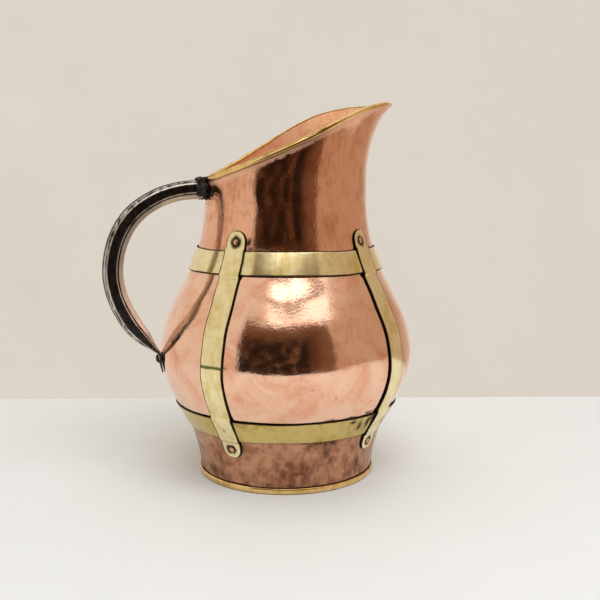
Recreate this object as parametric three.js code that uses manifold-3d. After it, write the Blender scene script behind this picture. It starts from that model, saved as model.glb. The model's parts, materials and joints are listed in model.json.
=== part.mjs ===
// A hand-raised copper water jug with brass hoops, brass straps and a forged iron handle.
// Millimetres, +Z up. The spout points along +X and the handle along -X. The origin lies on
// the ground, in the middle of the jug's footprint box, so the vessel's own axis stands a
// little towards the spout from it.
import * as THREE from 'three';
import { mergeVertices } from 'three/addons/utils/BufferGeometryUtils.js';
import Module from 'manifold-3d';

const wasm = await Module();
wasm.setup();

// ---------------------------------------------------------------- driving dimensions (mm)

const GAP = 0.3; // clearance between two pieces that touch
const TAIL_GAP = 0.6; // clearance of a rivet's inner end from the hollow side of the sheet
const SHEET = 1.2; // copper sheet of the vessel

const FOOT_RADIUS = 85.2; // outside of the copper at the ground
const BELLY_RADIUS = 123.6; // outside of the copper at its widest
const BELLY_HEIGHT = 120;
const THROAT_RADIUS = 78.4; // outside of the copper at its narrowest
const THROAT_HEIGHT = 272; // the spout's flare starts here

const HEEL_HEIGHT = 287.9; // sheet edge of the mouth above the handle
const LIP_HEIGHT = 358.6; // sheet edge of the mouth at the spout's tip
const HEEL_TUCK = 0.6; // the mouth's back edge stands in from the throat
const SPOUT_THROW = 24.8; // the spout's tip stands out from the throat
const HEEL_RADIUS = THROAT_RADIUS - HEEL_TUCK; // from the axis back to the mouth's edge
const LIP_REACH = THROAT_RADIUS + SPOUT_THROW; // from the axis out to the spout's tip
const MOUTH_PINCH = 6; // how far the mouth's flanks are drawn in
const MOUTH_SWAY = 4; // hand-made skew of the mouth's back edge: up by the spout, down by the handle
const LIP_POINT = 2.4; // how pointed the spout is from above
const FLARE_CURL = 2.95; // how late the spout bends outwards

const LOWER_SEAM_HEIGHT = 62.5; // skirt meets belly, hidden by the lower hoop
const UPPER_SEAM_HEIGHT = 211.8; // belly meets neck, hidden by the upper hoop
const HOOP_RISE = 21; // height of a hoop, measured upright
const HOOP_THICK = 1.0;

const STRAP_BOTTOM = 33.6; // height of a strap's lower tip
const STRAP_TOP = 240.2; // height of a strap's upper tip
const STRAP_END_WIDTH = 19.6;
const STRAP_MID_WIDTH = 22.8;
const STRAP_THICK = 1.3;
const STRAP_TURN_BY_SPOUT = 50.5; // degrees from the spout
const STRAP_TURN_BY_HANDLE = 137.5; // degrees from the spout
const JOGGLE = 2.6; // length of the step where a strap climbs a hoop

const STRAP_RIVET = { shank: 1.7, head: 2.9, dome: 1.3, tail: 2.7, tailThick: 0.9 };
const UPPER_RIVET_HEIGHT = 230.4;
const LOWER_RIVET_HEIGHT = 41.4;

const BINDING_OUT = 1.8; // rim binding, outwards from the sheet's outer face
const BINDING_UP = 1.4; // rim binding, upwards from the sheet's edge
const BINDING_LEG_AT_LIP = 2.4; // depth of its outer leg at the spout's tip
const BINDING_LEG_AT_HEEL = 4.6; // depth of its outer leg above the handle
const BINDING_TUCK = { thick: 0.6, depth: 0.9 }; // its edge turned in over the sheet
const BINDING_FOOT = 0.8; // thickness of its outer leg's lower edge
const BINDING_CORNER = 0.6; // rounding of its upper corners

const FOOT_RING_OUT = 1.8; // foot ring, outwards from the sheet's outer face
const FOOT_RING_RISE = 5.8;
const FOOT_RING_FLOOR = 1.2; // metal under the sheet's lower edge
const FOOT_RING_LEG = 1.1; // its leg inside the sheet
const FOOT_RING_CORNER = 0.9; // rounding of its outer corners

const BASE_RIM_HEIGHT = 9.2; // floor of the vessel at its edge
const BASE_CROWN = 2; // how far the floor rises in the middle
const BASE_CORNER = 0.7; // chamfer where the floor turns down into its flange
const BASE_FLANGE_BOTTOM = 5.4;

const HANDLE_STANDOFF = 43.2; // widest belly out to the bar's centre line
const HANDLE_REACH = BELLY_RADIUS + HANDLE_STANDOFF; // vessel axis out to the bar's centre line
const HANDLE_TOP_HEIGHT = 277.5; // bar's centre line where it leaves the neck
const HANDLE_TAIL_HEIGHT = 103.4; // tip of the tail on the belly
const HANDLE_THICK = 19.4; // bar, towards and away from the vessel
const HANDLE_WIDE = 20; // bar, across the hand
const TENON = { shank: 3.5, head: 5.6, headThick: 1.6 };
const TAIL_RIVET = { shank: 2.2, head: 4.3, dome: 3, tail: 3.6, tailThick: 1.2 };
const TAIL_RIVET_HEIGHT = 117.2;
const COLLAR_WALL = 2.8; // solder above and below the bar
const COLLAR_FLANK = 2.54; // solder at the bar's sides
const COLLAR_LENGTH = 10;
const COLLAR_RISE = 1.2; // its middle above the bar's centre line
const COLLAR_END_SHARE = 0.9; // its size at both ends, as a share of its fullest
const COLLAR_LOBES = [{ count: 5, twist: 4, depth: 0.035 }, { count: 3, twist: -9, depth: 0.02 }];

const FACETS = 48; // sides of every ring about the vessel's axis
const SKIRT_ROWS = 6; // rows of faces up each copper wall
const BELLY_ROWS = 15;
const NECK_ROWS = 13;
const STRAP_ROWS = 12; // rows of faces up a strap between the hoops
const RIVET_FACETS = 10;
const COLLAR_FACETS = 18;
const DRILL = 10; // reach of a drilling either way from the copper's face

// ---------------------------------------------------------------- lines of the vessel

// Shape of the side between its named heights: [share of the height, share of the swell].
const SKIRT_LINE = [[0, 0], [0.18, 0.068], [0.42, 0.285], [0.62, 0.632], [0.8, 0.888], [1, 1]];
const SHOULDER_LINE = [[0, 1], [0.19, 0.886], [0.39, 0.586], [0.58, 0.262], [0.77, 0.078], [1, 0]];
// Shape of the mouth's edge seen from the side: [share from heel to lip, share of the rise].
const MOUTH_LINE = [[0, 0], [0.429, 0.513], [0.714, 0.86], [0.88, 0.975], [1, 1]];

// Smooth curve through a line's points, level at the ends that are named level.
function follow(line, share, levelStart, levelEnd) {
  const last = line.length - 1;
  const at = THREE.MathUtils.clamp(share, 0, 1);
  let span = 0;
  while (span < last - 1 && at > line[span + 1][0]) {
    span += 1;
  }
  const slope = (index) => {
    const before = line[Math.max(index - 1, 0)];
    const after = line[Math.min(index + 1, last)];
    return (after[1] - before[1]) / (after[0] - before[0]);
  };
  const startSlope = span === 0 && levelStart ? 0 : slope(span);
  const endSlope = span === last - 1 && levelEnd ? 0 : slope(span + 1);
  const width = line[span + 1][0] - line[span][0];
  const t = (at - line[span][0]) / width;
  const rise = line[span + 1][1] - line[span][1];
  const bend = (startSlope * (1 - t) - endSlope * t) * width + rise * (2 * t - 1);
  return line[span][1] + rise * t + t * (1 - t) * bend;
}

// Outer radius of the round part of the vessel.
function sideRadius(height) {
  if (height < BELLY_HEIGHT) {
    return FOOT_RADIUS + (BELLY_RADIUS - FOOT_RADIUS)
      * follow(SKIRT_LINE, height / BELLY_HEIGHT, false, true);
  }
  const share = (height - BELLY_HEIGHT) / (THROAT_HEIGHT - BELLY_HEIGHT);
  return THROAT_RADIUS + (BELLY_RADIUS - THROAT_RADIUS) * follow(SHOULDER_LINE, share, true, true);
}

// Distance from the axis to the mouth's edge.
function mouthRadius(turn) {
  const spoutShare = ((1 + Math.cos(turn)) / 2) ** LIP_POINT;
  const pinch = MOUTH_PINCH * Math.sin(turn) ** 2;
  return HEEL_RADIUS + (LIP_REACH - HEEL_RADIUS) * spoutShare - pinch;
}

function mouthHeight(turn) {
  const share = (mouthRadius(turn) * Math.cos(turn) + HEEL_RADIUS) / (LIP_REACH + HEEL_RADIUS);
  const rise = (LIP_HEIGHT - HEEL_HEIGHT) * follow(MOUTH_LINE, share, false, false);
  const backward = (1 + Math.sin(turn)) / 2;
  return HEEL_HEIGHT + rise + MOUTH_SWAY * backward * Math.sin(2 * turn);
}

// A point on the copper's outer face.
function skin(turn, height) {
  let radius = sideRadius(height);
  if (height > THROAT_HEIGHT) {
    const share = (height - THROAT_HEIGHT) / (mouthHeight(turn) - THROAT_HEIGHT);
    radius += (mouthRadius(turn) - THROAT_RADIUS) * share ** FLARE_CURL;
  }
  return new THREE.Vector3(radius * Math.cos(turn), radius * Math.sin(turn), height);
}

// Direction straight out of the copper's outer face.
function outward(turn, height) {
  const step = 0.01;
  const around = skin(turn + step, height).sub(skin(turn - step, height));
  const up = skin(turn, height + step).sub(skin(turn, height - step));
  return around.cross(up).normalize();
}

// A point at a distance out of, or in from, the copper's outer face.
function offSkin(turn, height, out) {
  return skin(turn, height).addScaledVector(outward(turn, height), out);
}

// ---------------------------------------------------------------- solids and booleans

// Closed geometry with shared corners and its faces pointing out.
function closed(geometry) {
  geometry.deleteAttribute('normal');
  geometry.deleteAttribute('uv');
  const merged = mergeVertices(geometry, 1e-4);
  const position = merged.getAttribute('position');
  const corners = merged.getIndex().array;
  const triangles = [];
  let volume = 0;
  const [a, b, c] = [new THREE.Vector3(), new THREE.Vector3(), new THREE.Vector3()];
  for (let i = 0; i < corners.length; i += 3) {
    const [i0, i1, i2] = [corners[i], corners[i + 1], corners[i + 2]];
    if (i0 === i1 || i1 === i2 || i2 === i0) {
      continue;
    }
    triangles.push([i0, i1, i2]);
    a.fromBufferAttribute(position, i0);
    b.fromBufferAttribute(position, i1);
    c.fromBufferAttribute(position, i2);
    volume += a.dot(b.cross(c));
  }
  const order = volume < 0 ? ([i0, i1, i2]) => [i0, i2, i1] : (triangle) => triangle;
  merged.setIndex(triangles.flatMap(order));
  return merged;
}

function toSolid(geometry) {
  const vertProperties = new Float32Array(geometry.getAttribute('position').array);
  const triVerts = new Uint32Array(geometry.getIndex().array);
  return new wasm.Manifold(new wasm.Mesh({ numProp: 3, vertProperties, triVerts }));
}

function toGeometry(solid) {
  const { vertProperties, triVerts } = solid.getMesh();
  const geometry = new THREE.BufferGeometry();
  geometry.setAttribute('position', new THREE.BufferAttribute(new Float32Array(vertProperties), 3));
  geometry.setIndex(Array.from(triVerts));
  return geometry;
}

function cut(geometry, cutters) {
  let solid = toSolid(geometry);
  for (const cutter of cutters) {
    solid = solid.subtract(toSolid(cutter));
  }
  return toGeometry(solid);
}

function join(first, second) {
  return toGeometry(toSolid(first).add(toSolid(second)));
}

// Moves every corner of a geometry to where place(corner) says.
function reshape(geometry, place) {
  const position = geometry.getAttribute('position');
  const corner = new THREE.Vector3();
  for (let i = 0; i < position.count; i += 1) {
    corner.fromBufferAttribute(position, i);
    const { x, y, z } = place(corner);
    position.setXYZ(i, x, y, z);
  }
  return closed(geometry);
}

// A ring round the vessel from a closed outline of [across, along] points.
function ring(outline, place) {
  const turning = 1000; // wide enough that across never reaches the axis
  const points = outline.map(([across, along]) => new THREE.Vector2(turning + across, along));
  points.push(points[0].clone());
  const geometry = new THREE.LatheGeometry(points, FACETS);
  return reshape(geometry, ({ x, y, z }) => {
    const turn = Math.round((Math.atan2(x, z) / (2 * Math.PI)) * FACETS) * ((2 * Math.PI) / FACETS);
    return place(turn, Math.hypot(x, z) - turning, y);
  });
}

// A bar from round stations: place(share, angle, radius share) gives each corner.
function bar(sides, rows, place) {
  const geometry = new THREE.CylinderGeometry(1, 1, 1, sides, rows);
  return reshape(geometry, ({ x, y, z }) => place(y + 0.5, Math.atan2(z, x), Math.hypot(x, z)));
}

// A turned solid from [radius, along] points, its axis laid through a point along a direction.
function turned(outline, facets, origin, direction) {
  const points = outline.map(([radius, along]) => new THREE.Vector2(radius, along));
  const geometry = closed(new THREE.LatheGeometry(points, facets));
  const up = new THREE.Vector3(0, 1, 0);
  geometry.applyQuaternion(new THREE.Quaternion().setFromUnitVectors(up, direction));
  geometry.translate(origin.x, origin.y, origin.z);
  return geometry;
}

// ---------------------------------------------------------------- copper vessel

// Outline of a sheet wall: up the outer face and down the inner one, in equal rows.
function wallOutline(rows) {
  const outline = [];
  for (let row = 0; row <= rows; row += 1) {
    outline.push([0, row / rows]);
  }
  for (let row = rows; row >= 0; row -= 1) {
    outline.push([-SHEET, row / rows]);
  }
  return outline;
}

function roundShell(bottom, top, rows) {
  return ring(wallOutline(rows), (turn, out, share) => (
    offSkin(turn, THREE.MathUtils.lerp(bottom, top, share), out)));
}

function neckShell() {
  const bottom = UPPER_SEAM_HEIGHT + GAP / 2;
  return ring(wallOutline(NECK_ROWS), (turn, out, share) => (
    offSkin(turn, THREE.MathUtils.lerp(bottom, mouthHeight(turn), share), out)));
}

// The neck's outside as one thick block, grown by a clearance, to cut what stands against it.
function neckBlock() {
  const inner = -THROAT_RADIUS / 2;
  const outline = [[inner, 0], [GAP, 0], [GAP, 0.5], [GAP, 1], [inner, 1]];
  return ring(outline, (turn, out, share) => (
    offSkin(turn, THREE.MathUtils.lerp(UPPER_SEAM_HEIGHT, mouthHeight(turn), share), out)));
}

function basePlate() {
  const edge = sideRadius(BASE_RIM_HEIGHT) - SHEET - 2 * GAP;
  const crown = BASE_RIM_HEIGHT + BASE_CROWN;
  const midway = { radius: edge / 2, height: crown - BASE_CROWN * 0.3 };
  const outline = [
    [0, crown],
    [midway.radius, midway.height],
    [edge - BASE_CORNER, BASE_RIM_HEIGHT],
    [edge, BASE_RIM_HEIGHT - BASE_CORNER],
    [edge, BASE_FLANGE_BOTTOM],
    [edge - SHEET, BASE_FLANGE_BOTTOM],
    [edge - SHEET, BASE_RIM_HEIGHT - SHEET],
    [midway.radius, midway.height - SHEET],
    [0, crown - SHEET],
  ];
  return turned(outline, FACETS, new THREE.Vector3(), new THREE.Vector3(0, 0, 1));
}

// ---------------------------------------------------------------- brass bindings and hoops

// Section of the rim binding in [out, up] from the sheet's edge, grown by a clearance. The
// outer leg is drawn one unit deep and stretched to its real depth round the mouth.
function bindingOutline(grow) {
  const out = BINDING_OUT + grow;
  const top = BINDING_UP + grow;
  const inner = -SHEET - GAP - BINDING_TUCK.thick - grow;
  const foot = -1 - grow / BINDING_LEG_AT_LIP;
  return [
    [GAP + BINDING_FOOT + grow, foot],
    [out - BINDING_CORNER / 4, -0.7],
    [out, -0.1],
    [out - BINDING_CORNER, top * 0.65],
    [-SHEET / 4, top],
    [inner + BINDING_CORNER / 2, top * 0.7],
    [inner, 0],
    [inner, -BINDING_TUCK.depth - grow],
  ];
}

// A point beside the mouth's edge: out of the sheet, and up square to the edge.
function besideMouth(turn, out, up) {
  const step = 0.01;
  const edge = skin(turn, mouthHeight(turn));
  const ahead = skin(turn + step, mouthHeight(turn + step));
  const behind = skin(turn - step, mouthHeight(turn - step));
  const along = ahead.sub(behind).normalize();
  const sheetOut = outward(turn, mouthHeight(turn));
  const sheetUp = sheetOut.clone().cross(along).normalize();
  const heelShare = (1 - Math.cos(turn)) / 2;
  const leg = THREE.MathUtils.lerp(BINDING_LEG_AT_LIP, BINDING_LEG_AT_HEEL, heelShare);
  const rise = up < 0 && out > 0 ? up * leg : up;
  return edge.addScaledVector(sheetOut, out).addScaledVector(sheetUp, rise);
}

function rimBinding() {
  const tuckFoot = [-SHEET - GAP, -BINDING_TUCK.depth];
  const slot = [tuckFoot, [-SHEET - GAP, GAP], [GAP, GAP], [GAP, -1]];
  return ring([...bindingOutline(0), ...slot], besideMouth);
}

// The binding filled in and grown by a clearance, to cut what stands against it.
function rimBindingBlock() {
  const sheetSide = [GAP / 2, -1 - GAP / BINDING_LEG_AT_LIP];
  return ring([...bindingOutline(GAP), sheetSide], besideMouth);
}

function footRing() {
  const out = FOOT_RING_OUT;
  const inner = -SHEET - GAP - FOOT_RING_LEG;
  const outline = [
    [inner + FOOT_RING_CORNER / 2, 0],
    [out - FOOT_RING_CORNER, 0],
    [out - FOOT_RING_CORNER / 6, FOOT_RING_RISE * 0.24],
    [out, FOOT_RING_RISE * 0.5],
    [out - FOOT_RING_CORNER / 3, FOOT_RING_RISE * 0.8],
    [out - FOOT_RING_CORNER, FOOT_RING_RISE],
    [GAP, FOOT_RING_RISE],
    [GAP, FOOT_RING_FLOOR],
    [-SHEET - GAP, FOOT_RING_FLOOR],
    [-SHEET - GAP, BASE_FLANGE_BOTTOM - GAP],
    [inner, BASE_FLANGE_BOTTOM - GAP],
    [inner, FOOT_RING_CORNER],
  ];
  return ring(outline, (turn, across, height) => {
    const radius = sideRadius(height) + across;
    return new THREE.Vector3(radius * Math.cos(turn), radius * Math.sin(turn), height);
  });
}

function hoop(seamHeight) {
  const low = seamHeight - HOOP_RISE / 2;
  const high = seamHeight + HOOP_RISE / 2;
  const outline = [
    [GAP, low], [GAP + HOOP_THICK, low], [GAP + HOOP_THICK, seamHeight], [GAP + HOOP_THICK, high],
    [GAP, high], [GAP, seamHeight],
  ];
  return ring(outline, (turn, out, height) => offSkin(turn, height, out));
}

// ---------------------------------------------------------------- straps and their rivets

// Heights of both hoops' edges, lowest first.
const HOOP_EDGES = [LOWER_SEAM_HEIGHT, UPPER_SEAM_HEIGHT].map((seam) => (
  [seam - HOOP_RISE / 2, seam + HOOP_RISE / 2]));

// How far a strap stands off the copper to pass over a hoop.
function strapLift(height) {
  let lift = 0;
  for (const [low, high] of HOOP_EDGES) {
    const beyond = Math.max(low - height, height - high) - GAP;
    const share = 1 - THREE.MathUtils.clamp(beyond / JOGGLE, 0, 1);
    lift = Math.max(lift, share * (HOOP_THICK + GAP));
  }
  return lift;
}

// Length along the side for each unit of height.
function lean(height) {
  return Math.hypot(1, sideRadius(height + 0.5) - sideRadius(height - 0.5));
}

// Cross lines of a strap, each a height and the half width there, from tip to tip.
function strapStations() {
  const radius = STRAP_END_WIDTH / 2;
  const roundEnd = (tip, way) => [12, 32, 52, 72].map((degrees) => {
    const angle = THREE.MathUtils.degToRad(degrees);
    return {
      height: tip + (way * radius * (1 - Math.cos(angle))) / lean(tip),
      half: radius * Math.sin(angle),
    };
  });
  const low = STRAP_BOTTOM + radius / lean(STRAP_BOTTOM);
  const high = STRAP_TOP - radius / lean(STRAP_TOP);
  const heights = [low, high];
  for (const [hoopLow, hoopHigh] of HOOP_EDGES) {
    heights.push(hoopLow - GAP - JOGGLE, hoopLow - GAP, hoopHigh + GAP, hoopHigh + GAP + JOGGLE);
    heights.push((hoopLow + hoopHigh) / 2);
  }
  const from = HOOP_EDGES[0][1] + GAP + JOGGLE;
  const to = HOOP_EDGES[1][0] - GAP - JOGGLE;
  for (let step = 1; step < STRAP_ROWS; step += 1) {
    heights.push(THREE.MathUtils.lerp(from, to, step / STRAP_ROWS));
  }
  heights.sort((a, b) => a - b);
  const straight = heights.map((height) => {
    const swell = Math.sin((Math.PI * (height - low)) / (high - low));
    return { height, half: (STRAP_END_WIDTH + (STRAP_MID_WIDTH - STRAP_END_WIDTH) * swell) / 2 };
  });
  return [...roundEnd(STRAP_BOTTOM, 1), ...straight, ...roundEnd(STRAP_TOP, -1).reverse()];
}

function strap(turn) {
  const stations = strapStations();
  const last = stations.length - 1;
  const geometry = new THREE.BoxGeometry(1, 1, 1, 4, 1, last);
  return reshape(geometry, ({ x, y, z }) => {
    const { height, half } = stations[Math.round((z + 0.5) * last)];
    const out = GAP + strapLift(height) + (y + 0.5) * STRAP_THICK;
    return offSkin(turn + (2 * x * half) / sideRadius(height), height, out);
  });
}

// A rivet through the sheet and what lies on it, set square to the copper.
function rivet(size, turn, height, grip) {
  const under = grip + GAP;
  const inside = -SHEET - TAIL_GAP;
  const outline = [
    [0, inside - size.tailThick],
    [size.tail * 0.8, inside - size.tailThick],
    [size.tail, inside],
    [size.shank, inside],
    [size.shank, under],
    [size.head, under],
    [size.head * 0.88, under + size.dome * 0.55],
    [size.head * 0.5, under + size.dome * 0.92],
    [0, under + size.dome],
  ];
  return turned(outline, RIVET_FACETS, skin(turn, height), outward(turn, height));
}

// The drilling for a rivet's shank.
function rivetHole(size, turn, height) {
  const radius = size.shank + GAP;
  const outline = [[0, -DRILL], [radius, -DRILL], [radius, DRILL], [0, DRILL]];
  return turned(outline, RIVET_FACETS, skin(turn, height), outward(turn, height));
}

// Flat seat cut for a rivet's head, from the grip outwards.
function rivetSeat(size, turn, height, grip) {
  const radius = size.head + GAP;
  const outline = [[0, grip], [radius, grip], [radius, grip + DRILL], [0, grip + DRILL]];
  return turned(outline, RIVET_FACETS, skin(turn, height), outward(turn, height));
}

// ---------------------------------------------------------------- iron handle

// The bar's stations from the neck down to the tail: out is the share of the way from the
// copper at that height to the full reach, up the share of the way from the tail rivet to the
// top root, thick and wide are shares of the bar's full section.
const BAR_STATIONS = [
  { out: 0.005, up: 1, thick: 0.95, wide: 0.95 },
  { out: 0.3, up: 0.985, thick: 0.92, wide: 0.95 },
  { out: 0.55, up: 0.937, thick: 0.94, wide: 0.97 },
  { out: 0.767, up: 0.85, thick: 0.97, wide: 1 },
  { out: 0.921, up: 0.72, thick: 1, wide: 1 },
  { out: 1, up: 0.535, thick: 1, wide: 1 },
  { out: 0.934, up: 0.37, thick: 1, wide: 1 },
  { out: 0.679, up: 0.218, thick: 0.97, wide: 0.97 },
  { out: 0.419, up: 0.136, thick: 0.84, wide: 0.88 },
];
// The tail below the bar, hammered thin against the belly: how far out of the copper its
// centre line runs, and its section.
const TAIL_STATIONS = [
  { off: 8, above: 11, thick: 7.2, wide: 16 },
  { off: 3, above: 6, thick: 3.8, wide: 14.5 },
  { off: 1.75, above: 0.5, thick: 2.6, wide: 13 },
  { off: 1.5, above: -6, thick: 2.1, wide: 9 },
  { off: 1.2, above: HANDLE_TAIL_HEIGHT - TAIL_RIVET_HEIGHT, thick: 1.3, wide: 2.6 },
];

function handleStations() {
  const upper = BAR_STATIONS.map(({ out, up, thick, wide }) => {
    const height = THREE.MathUtils.lerp(TAIL_RIVET_HEIGHT, HANDLE_TOP_HEIGHT, up);
    const reach = THREE.MathUtils.lerp(sideRadius(height) + GAP, HANDLE_REACH, out);
    return { reach, height, thick: thick * HANDLE_THICK, wide: wide * HANDLE_WIDE };
  });
  const lower = TAIL_STATIONS.map(({ off, above, thick, wide }) => {
    const height = TAIL_RIVET_HEIGHT + above;
    return { reach: sideRadius(height) + off, height, thick, wide };
  });
  return [...upper, ...lower];
}

// Section of the bar: nearly flat flanks, a low ridge outside and a rounded inside.
const BAR_SECTION = [
  [0, 1], [0.55, 0.86], [0.93, 0.5], [1, 0], [0.9, -0.55], [0.5, -0.93],
  [0, -1], [-0.5, -0.93], [-0.9, -0.55], [-1, 0], [-0.93, 0.5], [-0.55, 0.86],
];

// The bar and its tail, its upper end run on into the neck, which then trims it.
function handleBar(grow) {
  const stations = handleStations();
  stations[0].reach -= COLLAR_LENGTH / 2;
  const path = new THREE.CatmullRomCurve3(stations.map(({ reach, height }) => (
    new THREE.Vector3(-reach, 0, height))), false, 'centripetal');
  const size = new THREE.CatmullRomCurve3(stations.map(({ thick, wide }) => (
    new THREE.Vector3(thick, wide, 0))), false, 'centripetal');
  const rows = (stations.length - 1) * 2;
  const sides = BAR_SECTION.length;
  return bar(sides, rows, (share, angle, radius) => {
    const centre = path.getPoint(share);
    const tangent = path.getTangent(share);
    const away = new THREE.Vector3(tangent.z, 0, -tangent.x);
    const { x: thick, y: wide } = size.getPoint(share);
    const index = (Math.round((angle / (2 * Math.PI)) * sides) + sides) % sides;
    const [across, out] = BAR_SECTION[index];
    centre.addScaledVector(away, out * radius * (thick / 2 + grow));
    centre.y += across * radius * (wide / 2 + grow);
    return centre;
  });
}

// The bar's end passes through the neck and is hammered over inside.
function handleTenon() {
  const inside = -SHEET - TAIL_GAP;
  const outline = [
    [0, inside - TENON.headThick],
    [TENON.head * 0.8, inside - TENON.headThick],
    [TENON.head, inside - TENON.headThick * 0.5],
    [TENON.head, inside],
    [TENON.shank, inside],
    [TENON.shank, HANDLE_THICK / 2],
    [0, HANDLE_THICK / 2],
  ];
  const root = skin(Math.PI, HANDLE_TOP_HEIGHT);
  return turned(outline, RIVET_FACETS, root, outward(Math.PI, HANDLE_TOP_HEIGHT));
}

function tenonHole() {
  return rivetHole(TENON, Math.PI, HANDLE_TOP_HEIGHT);
}

// Lump of solder run round the bar where it meets the neck: fullest midway, and uneven.
function handleCollar() {
  const rows = 5;
  const inset = 1; // starts inside the neck's face, which then trims it
  const upright = HANDLE_THICK / 2 + COLLAR_WALL;
  const across = HANDLE_WIDE / 2 + COLLAR_FLANK;
  const lump = bar(COLLAR_FACETS, rows, (share, angle, radius) => {
    const swell = THREE.MathUtils.lerp(COLLAR_END_SHARE, 1, Math.sin(Math.PI * share));
    const lobes = COLLAR_LOBES.map(({ count, twist, depth }) => (
      depth * Math.sin(count * angle + twist * share)));
    const size = swell * (1 + lobes[0] + lobes[1]) * radius;
    return new THREE.Vector3(
      -THROAT_RADIUS + inset - share * (COLLAR_LENGTH + inset),
      Math.cos(angle) * size * across,
      HANDLE_TOP_HEIGHT + COLLAR_RISE + Math.sin(angle) * size * upright,
    );
  });
  return cut(lump, [neckBlock(), rimBindingBlock(), handleBar(GAP)]);
}

// ---------------------------------------------------------------- materials and assembly

const COPPER = new THREE.MeshStandardMaterial({ color: 0xc07a58, roughness: 0.25, metalness: 1 });
const BRASS = new THREE.MeshStandardMaterial({ color: 0xcdb868, roughness: 0.28, metalness: 1 });
const IRON = new THREE.MeshStandardMaterial({ color: 0x1e1c1b, roughness: 0.5, metalness: 0.8 });
const SOLDER = new THREE.MeshStandardMaterial({ color: 0x141312, roughness: 0.6, metalness: 0.6 });

const jug = new THREE.Group();

function add(name, geometry, material) {
  const mesh = new THREE.Mesh(geometry, material);
  mesh.name = name;
  jug.add(mesh);
}

const STRAPS = [
  { name: 'front_spout_side', turn: -STRAP_TURN_BY_SPOUT },
  { name: 'front_handle_side', turn: -STRAP_TURN_BY_HANDLE },
  { name: 'back_spout_side', turn: STRAP_TURN_BY_SPOUT },
  { name: 'back_handle_side', turn: STRAP_TURN_BY_HANDLE },
].map(({ name, turn }) => ({ name, turn: THREE.MathUtils.degToRad(turn) }));

const upperHoles = STRAPS.map(({ turn }) => rivetHole(STRAP_RIVET, turn, UPPER_RIVET_HEIGHT));
const lowerHoles = STRAPS.map(({ turn }) => rivetHole(STRAP_RIVET, turn, LOWER_RIVET_HEIGHT));
const tailHole = rivetHole(TAIL_RIVET, Math.PI, TAIL_RIVET_HEIGHT);

const skirtBottom = FOOT_RING_FLOOR + GAP;
const foot = roundShell(skirtBottom, LOWER_SEAM_HEIGHT - GAP / 2, SKIRT_ROWS);
const belly = roundShell(LOWER_SEAM_HEIGHT + GAP / 2, UPPER_SEAM_HEIGHT - GAP / 2, BELLY_ROWS);

add('base_plate', basePlate(), COPPER);
add('foot_skirt', cut(foot, lowerHoles), COPPER);
add('belly_shell', cut(belly, [tailHole]), COPPER);
add('neck_and_spout', cut(neckShell(), [...upperHoles, tenonHole()]), COPPER);
add('foot_ring', footRing(), BRASS);
add('rim_binding', rimBinding(), BRASS);
add('lower_hoop', hoop(LOWER_SEAM_HEIGHT), BRASS);
add('upper_hoop', hoop(UPPER_SEAM_HEIGHT), BRASS);

STRAPS.forEach(({ name, turn }, index) => {
  add(`strap_${name}`, cut(strap(turn), [upperHoles[index], lowerHoles[index]]), BRASS);
  const grip = GAP + STRAP_THICK;
  add(`upper_rivet_${name}`, rivet(STRAP_RIVET, turn, UPPER_RIVET_HEIGHT, grip), COPPER);
  add(`lower_rivet_${name}`, rivet(STRAP_RIVET, turn, LOWER_RIVET_HEIGHT, grip), COPPER);
});

const tailGrip = TAIL_STATIONS[2].off + TAIL_STATIONS[2].thick / 2;
const tailSeat = rivetSeat(TAIL_RIVET, Math.PI, TAIL_RIVET_HEIGHT, tailGrip);
const fittedBar = cut(handleBar(0), [neckBlock(), rimBindingBlock(), tailHole, tailSeat]);
add('handle', join(fittedBar, handleTenon()), IRON);
add('handle_collar', handleCollar(), SOLDER);
add('tail_rivet', rivet(TAIL_RIVET, Math.PI, TAIL_RIVET_HEIGHT, tailGrip), IRON);

// The footprint's middle goes to the origin.
const footprint = new THREE.Box3().setFromObject(jug);
jug.position.x = -(footprint.min.x + footprint.max.x) / 2;

export default jug;
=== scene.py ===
"""A hand-raised copper water jug: brass hoops, straps and bindings, and a forged iron handle.

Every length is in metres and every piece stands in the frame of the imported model, +Z up, the
spout along +X and the handle along -X.
"""
import json
import logging
import math
from contextlib import contextmanager
from dataclasses import dataclass, field, replace
from enum import Enum
from typing import Any, Callable, Iterator, Sequence

import bpy
import numpy as np
from mathutils import Matrix, Vector

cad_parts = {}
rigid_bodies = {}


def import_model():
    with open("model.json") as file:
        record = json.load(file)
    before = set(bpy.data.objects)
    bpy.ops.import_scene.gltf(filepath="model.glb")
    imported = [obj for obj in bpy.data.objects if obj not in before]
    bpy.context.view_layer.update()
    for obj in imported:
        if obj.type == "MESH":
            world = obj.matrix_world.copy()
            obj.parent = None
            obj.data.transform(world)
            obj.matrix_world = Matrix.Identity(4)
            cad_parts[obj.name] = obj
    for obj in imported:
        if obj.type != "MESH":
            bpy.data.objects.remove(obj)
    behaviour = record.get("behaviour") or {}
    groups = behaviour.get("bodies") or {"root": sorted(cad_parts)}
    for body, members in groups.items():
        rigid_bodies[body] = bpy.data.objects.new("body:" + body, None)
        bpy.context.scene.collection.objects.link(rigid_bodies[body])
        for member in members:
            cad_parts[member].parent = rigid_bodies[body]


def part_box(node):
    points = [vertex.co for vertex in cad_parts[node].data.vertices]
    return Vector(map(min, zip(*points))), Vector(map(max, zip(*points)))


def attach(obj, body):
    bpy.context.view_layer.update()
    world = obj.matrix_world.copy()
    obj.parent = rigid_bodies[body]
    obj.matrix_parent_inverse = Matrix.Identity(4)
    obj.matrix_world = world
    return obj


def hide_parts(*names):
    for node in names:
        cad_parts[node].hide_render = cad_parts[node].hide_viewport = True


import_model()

LOG = logging.getLogger("copper_jug")
MM = 0.001
ROOT = "root"
SMOOTH = "SMOOTHSTEP"
# Height of the copper's edge at the tip of the spout.
LIP_HEIGHT = 358.6 * MM
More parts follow.
